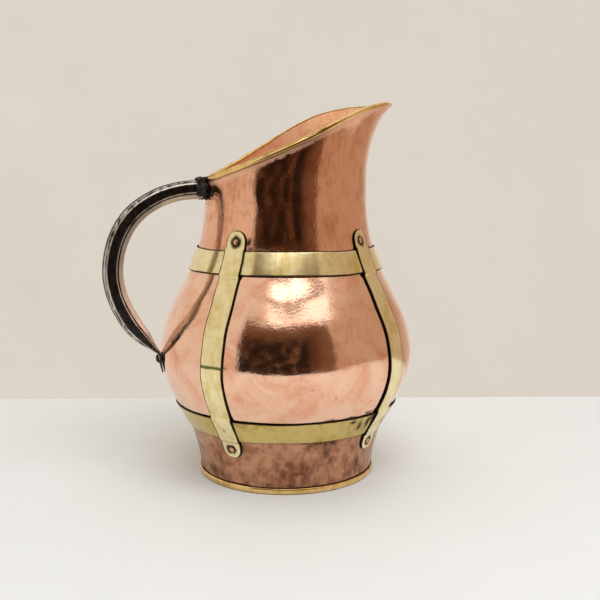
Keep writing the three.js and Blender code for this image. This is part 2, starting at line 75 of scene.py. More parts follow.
# Height of a blank that is reshaped afterwards.
BLANK_HEIGHT = 0.1
# How black the very edge of strip brass is, and the row of corners beside it.
BORDER_GRIME = 2.0
BESIDE_GRIME = 0.7
Outline = Sequence[tuple[float, float]]
Colour = tuple[float, float, float, float]
Piece = bpy.types.Object
Socket = bpy.types.NodeSocket


class Slot(Enum):
    """Material slots of the record."""

    COPPER = "copper_sheet"
    BRASS = "brass"
    RIVET = "copper_rivet"
    IRON = "wrought_iron"
    SOLDER = "solder"


class StrapPlace(Enum):
    """Where each strap stands, in degrees round from the spout."""

    FRONT_SPOUT_SIDE = -50.5
    FRONT_HANDLE_SIDE = -137.5
    BACK_SPOUT_SIDE = 50.5
    BACK_HANDLE_SIDE = 137.5


@dataclass(frozen=True)
class Smear:
    """A patch of black dirt: angle round from the spout in degrees, the rest in mm."""

    turn: float
    height: float
    wide: float
    tall: float
    strength: float = 1.0


def smears(*rows: tuple[float, ...]) -> tuple[Smear, ...]:
    """Makes patches of dirt, each from a row of its turn, height, wide, tall and strength."""
    return tuple(Smear(*row) for row in rows)


NECK_SMEARS = smears(
    (-129, 231, 3, 4), (-127, 224, 4, 2.5), (-121, 223.5, 7, 2.2), (-114, 223.2, 8, 1.8),
    (-100, 223, 9, 1.1, 0.8), (-67.5, 330, 1.6, 6, 0.75), (-64, 322, 1.4, 5, 0.6),
    (-142, 224, 8, 1.6), (40, 226, 9, 3), (120, 224, 12, 2), (150, 235, 5, 6, 0.8),
    (-177, 264, 9, 3, 0.7), (172, 262, 6, 5, 0.6))
BELLY_SMEARS = smears(
    (-54.6, 147, 2.6, 9), (-55, 128, 2, 6, 0.8), (-62, 76, 8, 1.6), (-74, 74.5, 9, 1.4),
    (-84, 74.5, 8, 1.2, 0.9), (-131, 123.5, 3.4, 1.6, 0.9), (-102.5, 109, 1.1, 1.1),
    (-95, 106.5, 1.5, 1), (-98, 92, 0.9, 0.9), (-84, 97, 1.6, 2.2, 0.75), (-80, 104, 1, 1.5, 0.7),
    (56, 190, 4, 9, 0.8), (64, 75, 10, 2), (100, 76, 12, 1.8), (131, 150, 2.5, 9, 0.8),
    (170, 106, 5, 9, 0.8))
SKIRT_SMEARS = smears(
    (-95, 50.8, 9, 1.6), (-87, 50.4, 8, 2.2, 1.1), (-80, 49.5, 8, 3, 1.2), (-83, 38, 6, 10, 1.0),
    (-78, 30, 8, 6, 0.9), (-98, 20, 9, 1.6, 1.1), (-84, 27, 7, 1.5, 1.0), (-116, 9, 7, 2.6, 1.2),
    (-104, 8.5, 9, 2, 1.1), (-158, 13, 9, 7, 1.1), (-149, 12, 7, 6, 1.0), (-133, 19, 7, 4, 0.9),
    (-57, 21, 5, 9, 1.1), (-63, 42, 6, 8, 1.0), (60, 18, 12, 6, 1.1), (95, 40, 9, 8, 0.9),
    (120, 14, 14, 5, 1.1), (165, 30, 8, 9, 0.9), (20, 16, 16, 5, 1.0), (-20, 30, 8, 8, 0.9))
HOOP_SMEARS = smears(
    (-130.6, 215, 2, 7), (-131, 205, 1.8, 5, 0.9), (-78, 206, 1.5, 1, 0.7), (-71, 69, 4, 2.4, 1.1),
    (-66, 64, 3, 6, 1.0), (-61, 66, 3, 7, 1.1), (-57, 70, 5, 5, 1.1), (44, 64, 3, 7, 0.8),
    (58, 210, 3, 7, 0.8), (130, 66, 3, 6, 0.8))
STRAP_SMEARS = smears(
    (-46, 62, 4, 5, 0.8), (-51, 44, 5, 4, 0.72), (-138, 62, 2, 3, 0.7), (50, 200, 4, 2, 0.8),
    (137, 72, 5, 2, 0.8))


# ------------------------------------------------------------------ curves and shapes


def follow(line: Outline, share: np.ndarray, level_start: bool, level_end: bool) -> np.ndarray:
    """Reads a smooth curve through a line's points.

    Args:
        line: points of the line, each a share of the way and a share of the rise.
        share: shares of the way to read at.
        level_start: whether the curve starts level.
        level_end: whether it ends level.

    Returns:
        The share of the rise at each share of the way.
    """
    across, rise = np.array(line).T
    slopes = np.empty(len(across))
    slopes[1:-1] = (rise[2:] - rise[:-2]) / (across[2:] - across[:-2])
    slopes[0] = 0 if level_start else (rise[1] - rise[0]) / (across[1] - across[0])
    slopes[-1] = 0 if level_end else (rise[-1] - rise[-2]) / (across[-1] - across[-2])
    at = np.clip(share, 0, 1)
    span = np.clip(np.searchsorted(across, at) - 1, 0, len(across) - 2)
    width = across[span + 1] - across[span]
    step = rise[span + 1] - rise[span]
    t = (at - across[span]) / width
    bend = (slopes[span] * (1 - t) - slopes[span + 1] * t) * width + step * (2 * t - 1)
    return rise[span] + step * t + t * (1 - t) * bend


def smooth_path(points: np.ndarray, shares: np.ndarray) -> np.ndarray:
    """Reads a centripetal Catmull-Rom curve.

    Args:
        points: the points it passes through, one per row.
        shares: shares of the way, counted in points.

    Returns:
        One row for each share.
    """
    held = np.vstack([2 * points[0] - points[1], points, 2 * points[-1] - points[-2]])
    at = np.clip(shares, 0, 1) * (len(points) - 1)
    span = np.minimum(at.astype(int), len(points) - 2)
    t = (at - span)[:, None]
    before, start, end, after = (held[span + step] for step in range(4))

    def knot(a: np.ndarray, b: np.ndarray) -> np.ndarray:
        """Knot spacing between two rows of points."""
        return np.maximum(np.sum((b - a) ** 2, axis=1, keepdims=True) ** 0.25, 1e-6)

    d0, d1, d2 = knot(before, start), knot(start, end), knot(end, after)
    go = ((start - before) / d0 - (end - before) / (d0 + d1) + (end - start) / d1) * d1
    come = ((end - start) / d1 - (after - start) / (d1 + d2) + (after - end) / d2) * d1
    square = 3 * (end - start) - 2 * go - come
    cube = 2 * (start - end) + go + come
    return start + t * (go + t * (square + t * cube))


def unit(rows: np.ndarray) -> np.ndarray:
    """Scales each row to length one."""
    return rows / np.linalg.norm(rows, axis=-1, keepdims=True)


def wander(turn: np.ndarray, seed: float, waves: int = 5) -> np.ndarray:
    """Slow hand-made unevenness round the axis, between about -1 and 1.

    Args:
        turn: angles about the axis.
        seed: shifts the waves, so that two edges differ.
        waves: how many waves are summed.

    Returns:
        The unevenness at each angle.
    """
    total = np.zeros_like(turn)
    for wave in range(1, waves + 1):
        total += np.sin(turn * (3 * wave + 1) + seed * wave * 1.7) / wave
    return total / 1.6


@dataclass(frozen=True)
class JugForm:
    """The outer face of the copper, by turn about the upright axis and by height."""

    axis_x: float
    belly_radius: float
    lip_height: float
    foot_radius: float = 85.2 * MM
    belly_height: float = 120 * MM
    throat_radius: float = 78.4 * MM
    throat_height: float = 272 * MM
    heel_height: float = 287.9 * MM
    heel_radius: float = 77.8 * MM
    lip_reach: float = 103.2 * MM
    mouth_pinch: float = 6 * MM
    mouth_sway: float = 4 * MM
    lip_point: float = 2.4
    flare_curl: float = 2.95
    sheet: float = 1.2 * MM
    gap: float = 0.3 * MM
    lower_seam: float = 62.5 * MM
    upper_seam: float = 211.8 * MM
    hoop_rise: float = 21 * MM
    hoop_thick: float = 0.8 * MM
    hoop_spread: float = 0.6 * MM
    skirt_line: Outline = (
        (0, 0), (0.18, 0.068), (0.42, 0.285), (0.62, 0.632), (0.8, 0.888), (1, 1))
    shoulder_line: Outline = (
        (0, 1), (0.19, 0.886), (0.39, 0.586), (0.58, 0.262), (0.77, 0.078), (1, 0))
    mouth_line: Outline = ((0, 0), (0.429, 0.513), (0.714, 0.86), (0.88, 0.975), (1, 1))

    def polar(self, points: np.ndarray) -> tuple[np.ndarray, np.ndarray]:
        """Reads where points stand round the vessel's axis.

        Args:
            points: one row for each.

        Returns:
            Their angles round from the spout, and their distances from the axis.
        """
        x, y = points[:, 0] - self.axis_x, points[:, 1]
        return np.arctan2(y, x), np.hypot(x, y)

    def placed(self, turn: np.ndarray, radius: np.ndarray, height: np.ndarray) -> np.ndarray:
        """Turns angles, distances from the axis and heights back into points, one row each."""
        x = self.axis_x + radius * np.cos(turn)
        return np.stack([x, radius * np.sin(turn), height], axis=-1)

    def side_radius(self, height: np.ndarray) -> np.ndarray:
        """Outer radius of the round part.

        Args:
            height: heights above the ground.

        Returns:
            The radius at each height.
        """
        skirt = follow(self.skirt_line, height / self.belly_height, False, True)
        below = self.foot_radius + (self.belly_radius - self.foot_radius) * skirt
        share = (height - self.belly_height) / (self.throat_height - self.belly_height)
        shoulder = follow(self.shoulder_line, share, True, True)
        above = self.throat_radius + (self.belly_radius - self.throat_radius) * shoulder
        return np.where(height < self.belly_height, below, above)

    def mouth_radius(self, turn: np.ndarray) -> np.ndarray:
        """Distance from the axis to the mouth's edge.

        Args:
            turn: angles round from the spout.

        Returns:
            The radius at each angle.
        """
        spout = ((1 + np.cos(turn)) / 2) ** self.lip_point
        pinch = self.mouth_pinch * np.sin(turn) ** 2
        return self.heel_radius + (self.lip_reach - self.heel_radius) * spout - pinch

    def mouth_height(self, turn: np.ndarray) -> np.ndarray:
        """Height of the mouth's edge.

        Args:
            turn: angles round from the spout.

        Returns:
            The height at each angle.
        """
        out = self.mouth_radius(turn) * np.cos(turn) + self.heel_radius
        share = out / (self.lip_reach + self.heel_radius)
        rise = (self.lip_height - self.heel_height) * follow(self.mouth_line, share, False, False)
        backward = (1 + np.sin(turn)) / 2
        return self.heel_height + rise + self.mouth_sway * backward * np.sin(2 * turn)

    def skin(self, turn: np.ndarray, height: np.ndarray) -> np.ndarray:
        """Points on the copper's outer face.

        Args:
            turn: angles round from the spout.
            height: heights above the ground.

        Returns:
            One row for each point.
        """
        span = self.mouth_height(turn) - self.throat_height
        share = np.clip((height - self.throat_height) / span, 0, None)
        flare = (self.mouth_radius(turn) - self.throat_radius) * share ** self.flare_curl
        return self.placed(turn, self.side_radius(height) + flare, height)

    def outward(self, turn: np.ndarray, height: np.ndarray) -> np.ndarray:
        """Direction straight out of the copper.

        Args:
            turn: angles round from the spout.
            height: heights above the ground.

        Returns:
            One row of length one for each point.
        """
        angle, rise = 0.004, 0.4 * MM
        around = self.skin(turn + angle, height) - self.skin(turn - angle, height)
        up = self.skin(turn, height + rise) - self.skin(turn, height - rise)
        return unit(np.cross(around, up))

    def off_skin(self, turn: np.ndarray, height: np.ndarray, out: np.ndarray) -> np.ndarray:
        """Points at a distance out of the copper, or into it where out is negative.

        Args:
            turn: angles round from the spout.
            height: heights above the ground.
            out: distances from the outer face.

        Returns:
            One row for each point.
        """
        return self.skin(turn, height) + self.outward(turn, height) * np.asarray(out)[..., None]

    def rivet_stand(self, turn: float, height: float) -> Matrix:
        """Finds where a rivet stands, its Z straight out of the copper.

        Args:
            turn: angle round from the spout.
            height: height above the ground.

        Returns:
            The matrix that takes a rivet there from the origin.
        """
        spot, level = np.array([turn]), np.array([height])
        out = Vector(self.outward(spot, level)[0])
        stand = out.to_track_quat("Z", "Y").to_matrix().to_4x4()
        stand.translation = Vector(self.skin(spot, level)[0])
        return stand

    def strap_lift(self, height: np.ndarray) -> np.ndarray:
        """How far a strap stands off the copper to pass over the hoops.

        Args:
            height: heights above the ground.

        Returns:
            The extra distance at each height.
        """
        joggle = 3.2 * MM
        lift = np.zeros_like(height)
        for seam in (self.lower_seam, self.upper_seam):
            beyond = np.abs(height - seam) - self.hoop_rise / 2 - self.gap
            share = 1 - np.clip(beyond / joggle, 0, 1)
            over = np.full_like(height, self.hoop_thick + self.gap)
            if seam == self.upper_seam:
                over += self.hoop_spread * np.clip(0.5 - (height - seam) / self.hoop_rise, 0, 1)
            lift = np.maximum(lift, share * share * (3 - 2 * share) * over)
        return lift


def mark(piece: Piece, name: str, values: np.ndarray) -> None:
    """Writes a value for every corner, keeping the larger one where there is one already.

    Args:
        piece: the mesh object.
        name: the attribute's name, one for smears, dark edges and painted shadow, one for wear and
            painted sheen.
        values: one value for each corner.
    """
    layers = piece.data.attributes
    layer = layers.get(name) or layers.new(name, "FLOAT", "POINT")
    kept = np.zeros(len(values))
    layer.data.foreach_get("value", kept)
    layer.data.foreach_set("value", np.maximum(kept, values))


def smirch(piece: Piece, form: JugForm, smears: Sequence[Smear]) -> None:
    """Writes where a piece is dirty, as an attribute of its corners.

    Args:
        piece: the finished mesh object.
        form: the vessel's form.
        smears: the patches of dirt.
    """
    points = corners(piece)
    turn, radius = form.polar(points)
    darkening = np.zeros(len(points))
    for smear in smears:
        offset = (turn - math.radians(smear.turn) + math.pi) % math.tau - math.pi
        across = offset * radius / (smear.wide * MM)
        along = (points[:, 2] - smear.height * MM) / (smear.tall * MM)
        darkening = np.maximum(darkening, smear.strength * np.exp(-0.5 * (across ** 2 + along ** 2)))
    mark(piece, "smear", darkening)


# ------------------------------------------------------------------ the workbench


@contextmanager
def editing(piece: Piece) -> Iterator[None]:
    """Opens a piece for editing with all of it selected, and closes it afterwards.

    Args:
        piece: the mesh object to work on.
    """
    pick(piece)
    bpy.ops.object.mode_set(mode="EDIT")
    bpy.ops.mesh.select_all(action="SELECT")
    try:
        yield
    finally:
        bpy.ops.object.mode_set(mode="OBJECT")


def pick(piece: Piece) -> None:
    """Selects one piece and nothing else."""
    bpy.ops.object.select_all(action="DESELECT")
    piece.select_set(True)
    bpy.context.view_layer.objects.active = piece


def in_mm(outline: Outline) -> list[tuple[float, float]]:
    """Turns an outline drawn in millimetres into metres."""
    return [(across * MM, up * MM) for across, up in outline]


def begin(name: str) -> Piece:
    """Names the primitive just added and puts its place into its mesh.

    Args:
        name: name of the piece.

    Returns:
        The new mesh object, at the origin.
    """
    piece = bpy.context.object
    piece.name = piece.data.name = name
    bpy.ops.object.transform_apply(location=True, rotation=True, scale=True)
    return piece


def settle(piece: Piece, within: float = 1e-6) -> None:
    """Merges corners that lie within a distance and turns every face outwards."""
    with editing(piece):
        bpy.ops.mesh.remove_doubles(threshold=within)
        bpy.ops.mesh.select_all(action="SELECT")
        bpy.ops.mesh.normals_make_consistent(inside=False)


def spin_up(name: str, outline: Outline, steps: int, axis_x: float = 0.0,
            closed: bool = False) -> Piece:
    """Spins a drawn outline about an upright axis.

    Args:
        name: name of the piece.
        outline: points of the outline, each a radius and a height.
        steps: number of steps in the full turn.
        axis_x: where the axis stands along X.
        closed: whether the outline closes on itself.

    Returns:
        The turned mesh object.
    """
    bpy.ops.object.select_all(action="DESELECT")
    (radius, height), *rest = [*outline, outline[0]] if closed else outline
    bpy.ops.mesh.primitive_plane_add(size=MM, location=(axis_x + radius, 0, height))
    piece = begin(name)
    with editing(piece):
        bpy.ops.mesh.merge(type="CENTER")
        for next_radius, next_height in rest:
            step = (next_radius - radius, 0, next_height - height)
            bpy.ops.mesh.extrude_region_move(TRANSFORM_OT_translate={"value": step})
            radius, height = next_radius, next_height
        if closed:
            bpy.ops.mesh.select_all(action="SELECT")
            bpy.ops.mesh.remove_doubles(threshold=1e-7)
        bpy.ops.mesh.select_all(action="SELECT")
        bpy.ops.mesh.spin(steps=steps, angle=math.tau, center=(axis_x, 0, 0), axis=(0, 0, 1))
    settle(piece)
    return piece


def corners(piece: Piece) -> np.ndarray:
    """Reads a piece's corners, one row each."""
    flat = np.empty(len(piece.data.vertices) * 3)
    piece.data.vertices.foreach_get("co", flat)
    return flat.reshape(-1, 3)


def reshape(piece: Piece, place: Callable[[np.ndarray], np.ndarray]) -> None:
    """Moves every corner of a piece to where place says.

    Args:
        piece: the mesh object.
        place: takes the corners, one row each, and returns them moved.
    """
    moved = place(corners(piece))
    piece.data.vertices.foreach_set("co", np.ascontiguousarray(moved).ravel())
    piece.data.update()


def work(piece: Piece, kind: str, **settings: Any) -> None:
    """Adds one modifier to a piece and applies it.

    Args:
        piece: the mesh object.
        kind: the modifier's type.
        settings: its settings by name.
    """
    pick(piece)
    bpy.ops.object.modifier_add(type=kind)
    modifier = piece.modifiers[-1]
    for name, value in settings.items():
        setattr(modifier, name, value)
    bpy.ops.object.modifier_apply(modifier=modifier.name)


def hammer(piece: Piece, kind: str, size: float, depth: float, level: float) -> None:
    """Beats a pattern of marks into a piece, square to its faces.

    Args:
        piece: the mesh object.
        kind: procedural texture type, VORONOI for round marks and CLOUDS for soft dents.
        size: width of a mark.
        depth: height between the lowest and the highest point.
        level: the part of the pattern that stays where it was, from 0 to 1.
    """
    pattern = bpy.data.textures.new(f"{piece.name}_{kind.lower()}", kind)
    pattern.noise_scale = size
    if kind == "CLOUDS":
        pattern.noise_depth = 1
    work(piece, "DISPLACE", texture=pattern, texture_coords="LOCAL", strength=depth,
         mid_level=level)
    bpy.data.textures.remove(pattern)


def finish(piece: Piece, metal: bpy.types.Material, slot: Slot,
           *nodes: str, angle: float = 35) -> Piece:
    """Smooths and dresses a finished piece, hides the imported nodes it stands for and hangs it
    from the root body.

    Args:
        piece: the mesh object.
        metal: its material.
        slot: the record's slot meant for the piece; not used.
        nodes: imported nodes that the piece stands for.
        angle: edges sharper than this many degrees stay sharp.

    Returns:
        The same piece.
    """
    pick(piece)
    bpy.ops.object.shade_smooth_by_angle(angle=math.radians(angle))
    if metal.name not in piece.data.materials:
        piece.data.materials.append(metal)
    if nodes:
        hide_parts(*nodes)
    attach(piece, ROOT)
    LOG.info("%s: %d faces, stands for %s", piece.name, len(piece.data.polygons), nodes or "-")
    return piece


# ------------------------------------------------------------------ finishes


def linear(code: str) -> Colour:
    """Turns an sRGB hex colour into a linear one.

    Args:
        code: six hex digits with a leading hash.

    Returns:
        Red, green, blue and an alpha of one.
    """
    parts = [int(code[start:start + 2], 16) / 255 for start in (1, 3, 5)]
    red, green, blue = (
        part / 12.92 if part <= 0.04045 else ((part + 0.055) / 1.055) ** 2.4 for part in parts)
    return red, green, blue, 1.0


@dataclass(frozen=True)
class Wiring:
    """Adds nodes to one node tree and hands back the socket to go on from."""

    tree: bpy.types.NodeTree

    @classmethod
    def of(cls, block: bpy.types.Material | bpy.types.World) -> "Wiring":
        """Empties the node tree of a new material or world and opens it.

        Args:
            block: the material or the world.

        Returns:
            The wiring of its tree.
        """
        block.use_nodes = True
        block.node_tree.nodes.clear()
        return cls(block.node_tree)

    def add(self, kind: str, output: str, inputs: dict[Any, Any], **settings: Any) -> Any:
        """Adds one node with its settings and links.

        Args:
            kind: the node's type, without its ShaderNode prefix.
            output: name of the output to go on from, empty for a node that ends the tree.
            inputs: sockets to link and plain values to set, by input name or number.
            settings: the node's own settings by name.

        Returns:
            The output socket, or nothing where none is named.
        """
        node = self.tree.nodes.new("ShaderNode" + kind)
        for name, value in settings.items():
            setattr(node, name, value)
        for key, value in inputs.items():
            if isinstance(value, Socket):
                self.tree.links.new(value, node.inputs[key])
            else:
                node.inputs[key].default_value = value
        return node.outputs[output] if output else None

    def math(self, operation: str, *values: Any) -> Socket:
        """Adds a sum, a product and the like of sockets or numbers."""
        return self.add("Math", "Value", dict(enumerate(values)), operation=operation)

    def noise(self, place: Socket, size: float, detail: float, roughness: float = 0.5,
              distortion: float = 0.0) -> Socket:
        """Adds noise.

        Args:
            place: the coordinates.
            size: width of its largest clouds.
            detail: how many finer octaves it has.
            roughness: how strong they are.
            distortion: how far it is stirred.

        Returns:
            The noise, about 0.5 on average.
        """
        return self.add("TexNoise", "Fac", {
            "Vector": place, "Scale": 1 / size, "Detail": detail, "Roughness": roughness,
            "Distortion": distortion})

    def ramp(self, value: Socket, start: float, end: float, low: float = 0.0,
             high: float = 1.0, kind: str = "LINEAR") -> Socket:
        """Maps the range from start to end onto the range from low to high."""
        return self.add("MapRange", "Result", {
            "Value": value, "From Min": start, "From Max": end, "To Min": low, "To Max": high},
            interpolation_type=kind)

    def mix(self, share: Any, under: Any, over: Any, kind: str = "FLOAT") -> Socket:
        """Lays one number or colour over another by a share from 0 to 1."""
        return self.add("Mix", "Result", {"Factor": share, "A": under, "B": over}, data_type=kind)

    def blend(self, share: Any, under: Any, over: Any) -> Socket:
        """Lays one colour over another by a share from 0 to 1."""
        return self.mix(share, under, over, "RGBA")

    def written(self, name: str) -> Socket:
        """Reads a value that mark has written on the piece's corners."""
        return self.add("Attribute", "Fac", {}, attribute_name=name, attribute_type="GEOMETRY")

    def relief(self, layers: Sequence[tuple[Socket, float]], strength: float = 1.0) -> Socket:
        """Turns heights into relief, one over the other.

        Args:
            layers: each a height from 0 to 1 and its depth.
            strength: how much of the relief shows.

        Returns:
            The normal to shade with.
        """
        under: dict[str, Socket] = {}
        for height, depth in layers:
            settings = {"Height": height, "Distance": depth, "Strength": strength}
            under = {"Normal": self.add("Bump", "Normal", settings | under)}
        return under["Normal"]

    def surface(self, colour: Socket, roughness: Any, normal: Socket,
                metallic: float = 0.0) -> None:
        """Ends a material's tree in a shader."""
        shader = self.add("BsdfPrincipled", "BSDF", {
            "Base Color": colour, "Metallic": metallic, "Roughness": roughness,
            "Normal": normal})
        self.add("OutputMaterial", "", {"Surface": shader})


@dataclass(frozen=True)
class WorkedMetal:
    """Hand-worked metal with tarnish in clouds, hammer marks, and crevices darkened partly as
    patina and partly as painted shade from ambient occlusion.
    """

    name: str
    polished: str
    tarnished: str
    # Colour of patina, specks and smears, also laid as painted shade in crevices by ambient
    # occlusion.
    blackening: str
    tarnish_from: float = 0.42
    tarnish_to: float = 0.68
    roughness: float = 0.16
    tarnish_roughness: float = 0.28
    grime_roughness: float = 0.62
    cloud_mm: float = 46.0
    streak_mm: float = 5.0
    streak_stretch: float = 7.0
    streak_share: float = 0.35
    mark_mm: float = 9.0
    mark_depth_mm: float = 0.06
    ripple_mm: float = 3.4
    ripple_depth_mm: float = 0.018
    grain_mm: float = 0.7
    speck_mm: float = 9.0
    speck_share: float = 0.5
    # Reach and limits of the ambient occlusion that lays painted shade in crevices.
    crevice_mm: float = 3.0
    crevice_from: float = 0.78
    crevice_to: float = 0.92
    rubbed_sheen: str = ""
    rubbed_roughness: float = 0.3
    stain_height_mm: float = 0.0
    stain: str = "#4d5c1c"
    metallic: float = 1.0
    smudge_full: float = 0.56
    smudge_depth: float = 0.94
    patch_mm: float = 7.0
    ragged_mm: float = 2.2

    def build(self) -> bpy.types.Material:
        """Makes the node material.

        Returns:
            The finished material.
        """
        metal = bpy.data.materials.new(self.name)
        wire = Wiring.of(metal)
        place = wire.add("TexCoord", "Object", {})
        drawn = wire.add("Mapping", "Vector", {
            "Vector": place, "Scale": (1, 1, 1 / self.streak_stretch)})
        clouds = wire.noise(place, self.cloud_mm * MM, 6, 0.62, 0.6)
        streaks = wire.noise(drawn, self.streak_mm * MM, 4, 0.6)
        patchy = wire.noise(drawn, self.patch_mm * MM, 7, 0.72, 0.8)
        mottle = wire.mix(self.streak_share, clouds, streaks)
        tarnish = wire.ramp(mottle, self.tarnish_from, self.tarnish_to, kind=SMOOTH)
        colour = wire.blend(tarnish, linear(self.polished), linear(self.tarnished))
        # Specks, smears, patina and painted shade in crevices and under the lower hoop darken the
        # colour here.
        darkening = self.darkening(wire, place, streaks, patchy)
        colour = wire.blend(darkening, colour, linear(self.blackening))
        if self.stain_height_mm:
            colour = self.stained(wire, place, colour)
        gloss = wire.ramp(mottle, 0.3, 0.75, self.roughness, self.tarnish_roughness)
        rough = wire.mix(darkening, gloss, self.grime_roughness)
        # Wear and painted sheen: where marked, the lighter rubbed colour is laid on, partly wear
        # and partly painted highlights and reflections.
        if self.rubbed_sheen:
            worn_sheen_noise = wire.math("MULTIPLY", patchy, wire.written("rub_and_sheen"))
            worn_sheen = wire.ramp(worn_sheen_noise, 0.24, 0.4, kind=SMOOTH)
            colour = wire.blend(worn_sheen, colour, linear(self.rubbed_sheen))
            rough = wire.mix(worn_sheen, rough, self.rubbed_roughness)
        marks = wire.add("TexVoronoi", "Distance", {
            "Vector": place, "Scale": 1 / (self.mark_mm * MM), "Smoothness": 0.8},
            feature="SMOOTH_F1")
        ripples = wire.noise(place, self.ripple_mm * MM, 3)
        grain = wire.noise(place, self.grain_mm * MM, 2)
        ripple_depth = self.ripple_depth_mm * MM
        normal = wire.relief([(marks, self.mark_depth_mm * MM), (ripples, ripple_depth),
                              (grain, ripple_depth / 9)])
        wire.surface(colour, rough, normal, self.metallic)
        return metal

    def darkening(self, wire: Wiring, place: Socket, streaks: Socket, patchy: Socket) -> Socket:
        """Gathers the specks, the crevices darkened by ambient occlusion as patina and painted
        shade, and the smears and painted shadow written on the piece.

        Args:
            wire: the material's wiring.
            place: Object coordinates.
            streaks: noise that sizes the specks.
            patchy: noise that tears the smears.

        Returns:
            How dark the metal is made, from 0 to 1.
        """
        from_speck = wire.add("TexVoronoi", "Distance", {
            "Vector": place, "Scale": 1 / (self.speck_mm * MM)})
        speck_size = wire.ramp(streaks, 0.45, 0.8, high=0.16 * self.speck_share)
        specks = wire.math("LESS_THAN", from_speck, speck_size)
        # Painted shade: ambient occlusion darkens the colour in crevices and beside raised edges,
        # partly standing for patina there.
        hidden = wire.add("AmbientOcclusion", "AO", {"Distance": self.crevice_mm * MM}, samples=8)
        ragged = wire.math("SUBTRACT", wire.noise(place, self.ragged_mm * MM, 3), 0.5)
        swung = wire.math("MULTIPLY_ADD", ragged, 0.25, hidden)
        crevice = wire.ramp(swung, self.crevice_to, self.crevice_from, kind=SMOOTH)
        # Smears written on the piece, the painted shadow under the lower hoop among them.
        torn = wire.math("MULTIPLY", patchy, wire.written("smear"))
        smudge_and_shadow = wire.ramp(torn, 0.2, self.smudge_full, high=self.smudge_depth, kind=SMOOTH)
        return wire.math("MAXIMUM", crevice, wire.math("MAXIMUM", smudge_and_shadow, specks))

    def stained(self, wire: Wiring, place: Socket, under: Socket) -> Socket:
        """Draws a thin level line of verdigris.

        Args:
            wire: the material's wiring.
            place: Object coordinates.
            under: the colour below the stain.

        Returns:
            The colour with the stain on it.
        """
        height = wire.add("SeparateXYZ", "Z", {0: place})
        swing, shake, none_from, full_from = 2.4, 5 * MM, 1.9 * MM, 0.8 * MM
        swung = wire.math("MULTIPLY_ADD", wire.noise(place, shake, 3), swing * MM, height)
        beside = wire.math("SUBTRACT", swung, (self.stain_height_mm + swing / 2) * MM)
        away = wire.math("ABSOLUTE", beside)
        line = wire.ramp(away, none_from, full_from, high=0.9, kind=SMOOTH)
        return wire.blend(line, under, linear(self.stain))


# Planished and polished copper: bright salmon pink, its reflections broken by hammer marks.
PLANISHED_COPPER = WorkedMetal(
    name="planished_copper", polished="#fbceb2", tarnished="#ecaa8a", blackening="#2c1812",
    roughness=0.07, tarnish_roughness=0.14, streak_share=0.15, streak_mm=3, streak_stretch=2,
    cloud_mm=30, speck_share=0.9, mark_depth_mm=0.025, ripple_mm=2.1, ripple_depth_mm=0.06,
    crevice_mm=1.5)
# The neck took less polish, so it is browner and drawn in upright streaks; its band under the
# mouth's edge is satin wear, painted lighter as a painted reflection.
NECK_COPPER = WorkedMetal(
    name="drawn_copper", polished="#f2b997", tarnished="#d2906d", blackening="#241410",
    streak_share=0.4, streak_mm=4, streak_stretch=3, cloud_mm=26, roughness=0.06,
    tarnish_roughness=0.13, mark_depth_mm=0.03, ripple_mm=1.9, ripple_depth_mm=0.09,
    crevice_mm=1.5, rubbed_sheen="#f6c5a8", rubbed_roughness=0.5)
# The inside was never polished after tinning wore off: satin and orange.
INNER_COPPER = WorkedMetal(
    name="satin_inner_copper", polished="#ffc99c", tarnished="#e8a070", blackening="#4a2214",
    streak_share=0.3, streak_mm=4, streak_stretch=2, cloud_mm=22, roughness=0.5,
    tarnish_roughness=0.6, speck_share=0.8, crevice_mm=1, metallic=0.45)
# The skirt's copper is darker, partly stained and partly painted shade for the shaded floor that it
# reflects, with brown patches and black smears from standing in the wet.
SKIRT_COPPER = WorkedMetal(
    name="stained_and_shaded_copper", polished="#cf9878", tarnished="#86563f", blackening="#2e2424",
    tarnish_from=0.38, tarnish_to=0.66, smudge_full=0.72, smudge_depth=0.88, roughness=0.18,
    tarnish_roughness=0.38, cloud_mm=24, streak_share=0.4, streak_mm=6, streak_stretch=2,
    speck_share=1.0, crevice_mm=2.4)
# Hammered strip brass: pale greenish gold with olive tarnish.
STRIP_BRASS = WorkedMetal(
    name="strip_brass", polished="#f9eaba", tarnished="#e0c87e", blackening="#28221a",
    roughness=0.1, tarnish_roughness=0.2, cloud_mm=24, mark_mm=14, mark_depth_mm=0.05,
    ripple_mm=5, ripple_depth_mm=0.02, speck_share=0.5, crevice_mm=2.0)
# The lower hoop's brass: a darker copy of the strip brass, painted shade for the shaded floor that
# the hoop reflects.
SHADED_BRASS = replace(STRIP_BRASS, name="shaded_brass", polished="#d9c27c", tarnished="#b2984c")
STAINED_BRASS = replace(STRIP_BRASS, name="verdigris_brass", stain_height_mm=123.4)
# Drawn brass bead of the rim and the foot: deeper gold and smoother than the strip.
BEAD_BRASS = WorkedMetal(
    name="bead_brass", polished="#f2cd88", tarnished="#c39a54", blackening="#241a10",
    roughness=0.1, tarnish_roughness=0.22, cloud_mm=18, mark_mm=16, mark_depth_mm=0.03,
    ripple_depth_mm=0.01, speck_share=0.3, crevice_mm=1.2, crevice_from=0.5, crevice_to=0.75)
# Rivets cut from copper rod, heads rubbed bright, and dark round the edge as patina and painted
# shade from ambient occlusion.
RIVET_COPPER = WorkedMetal(
    name="riveted_copper", polished="#e6b093", tarnished="#b57752", blackening="#20110b",
    roughness=0.2, tarnish_roughness=0.34, cloud_mm=3, mark_mm=2.2, mark_depth_mm=0.05,
    ripple_mm=1, speck_share=0.3, crevice_mm=2.2, crevice_from=0.4, crevice_to=0.7)
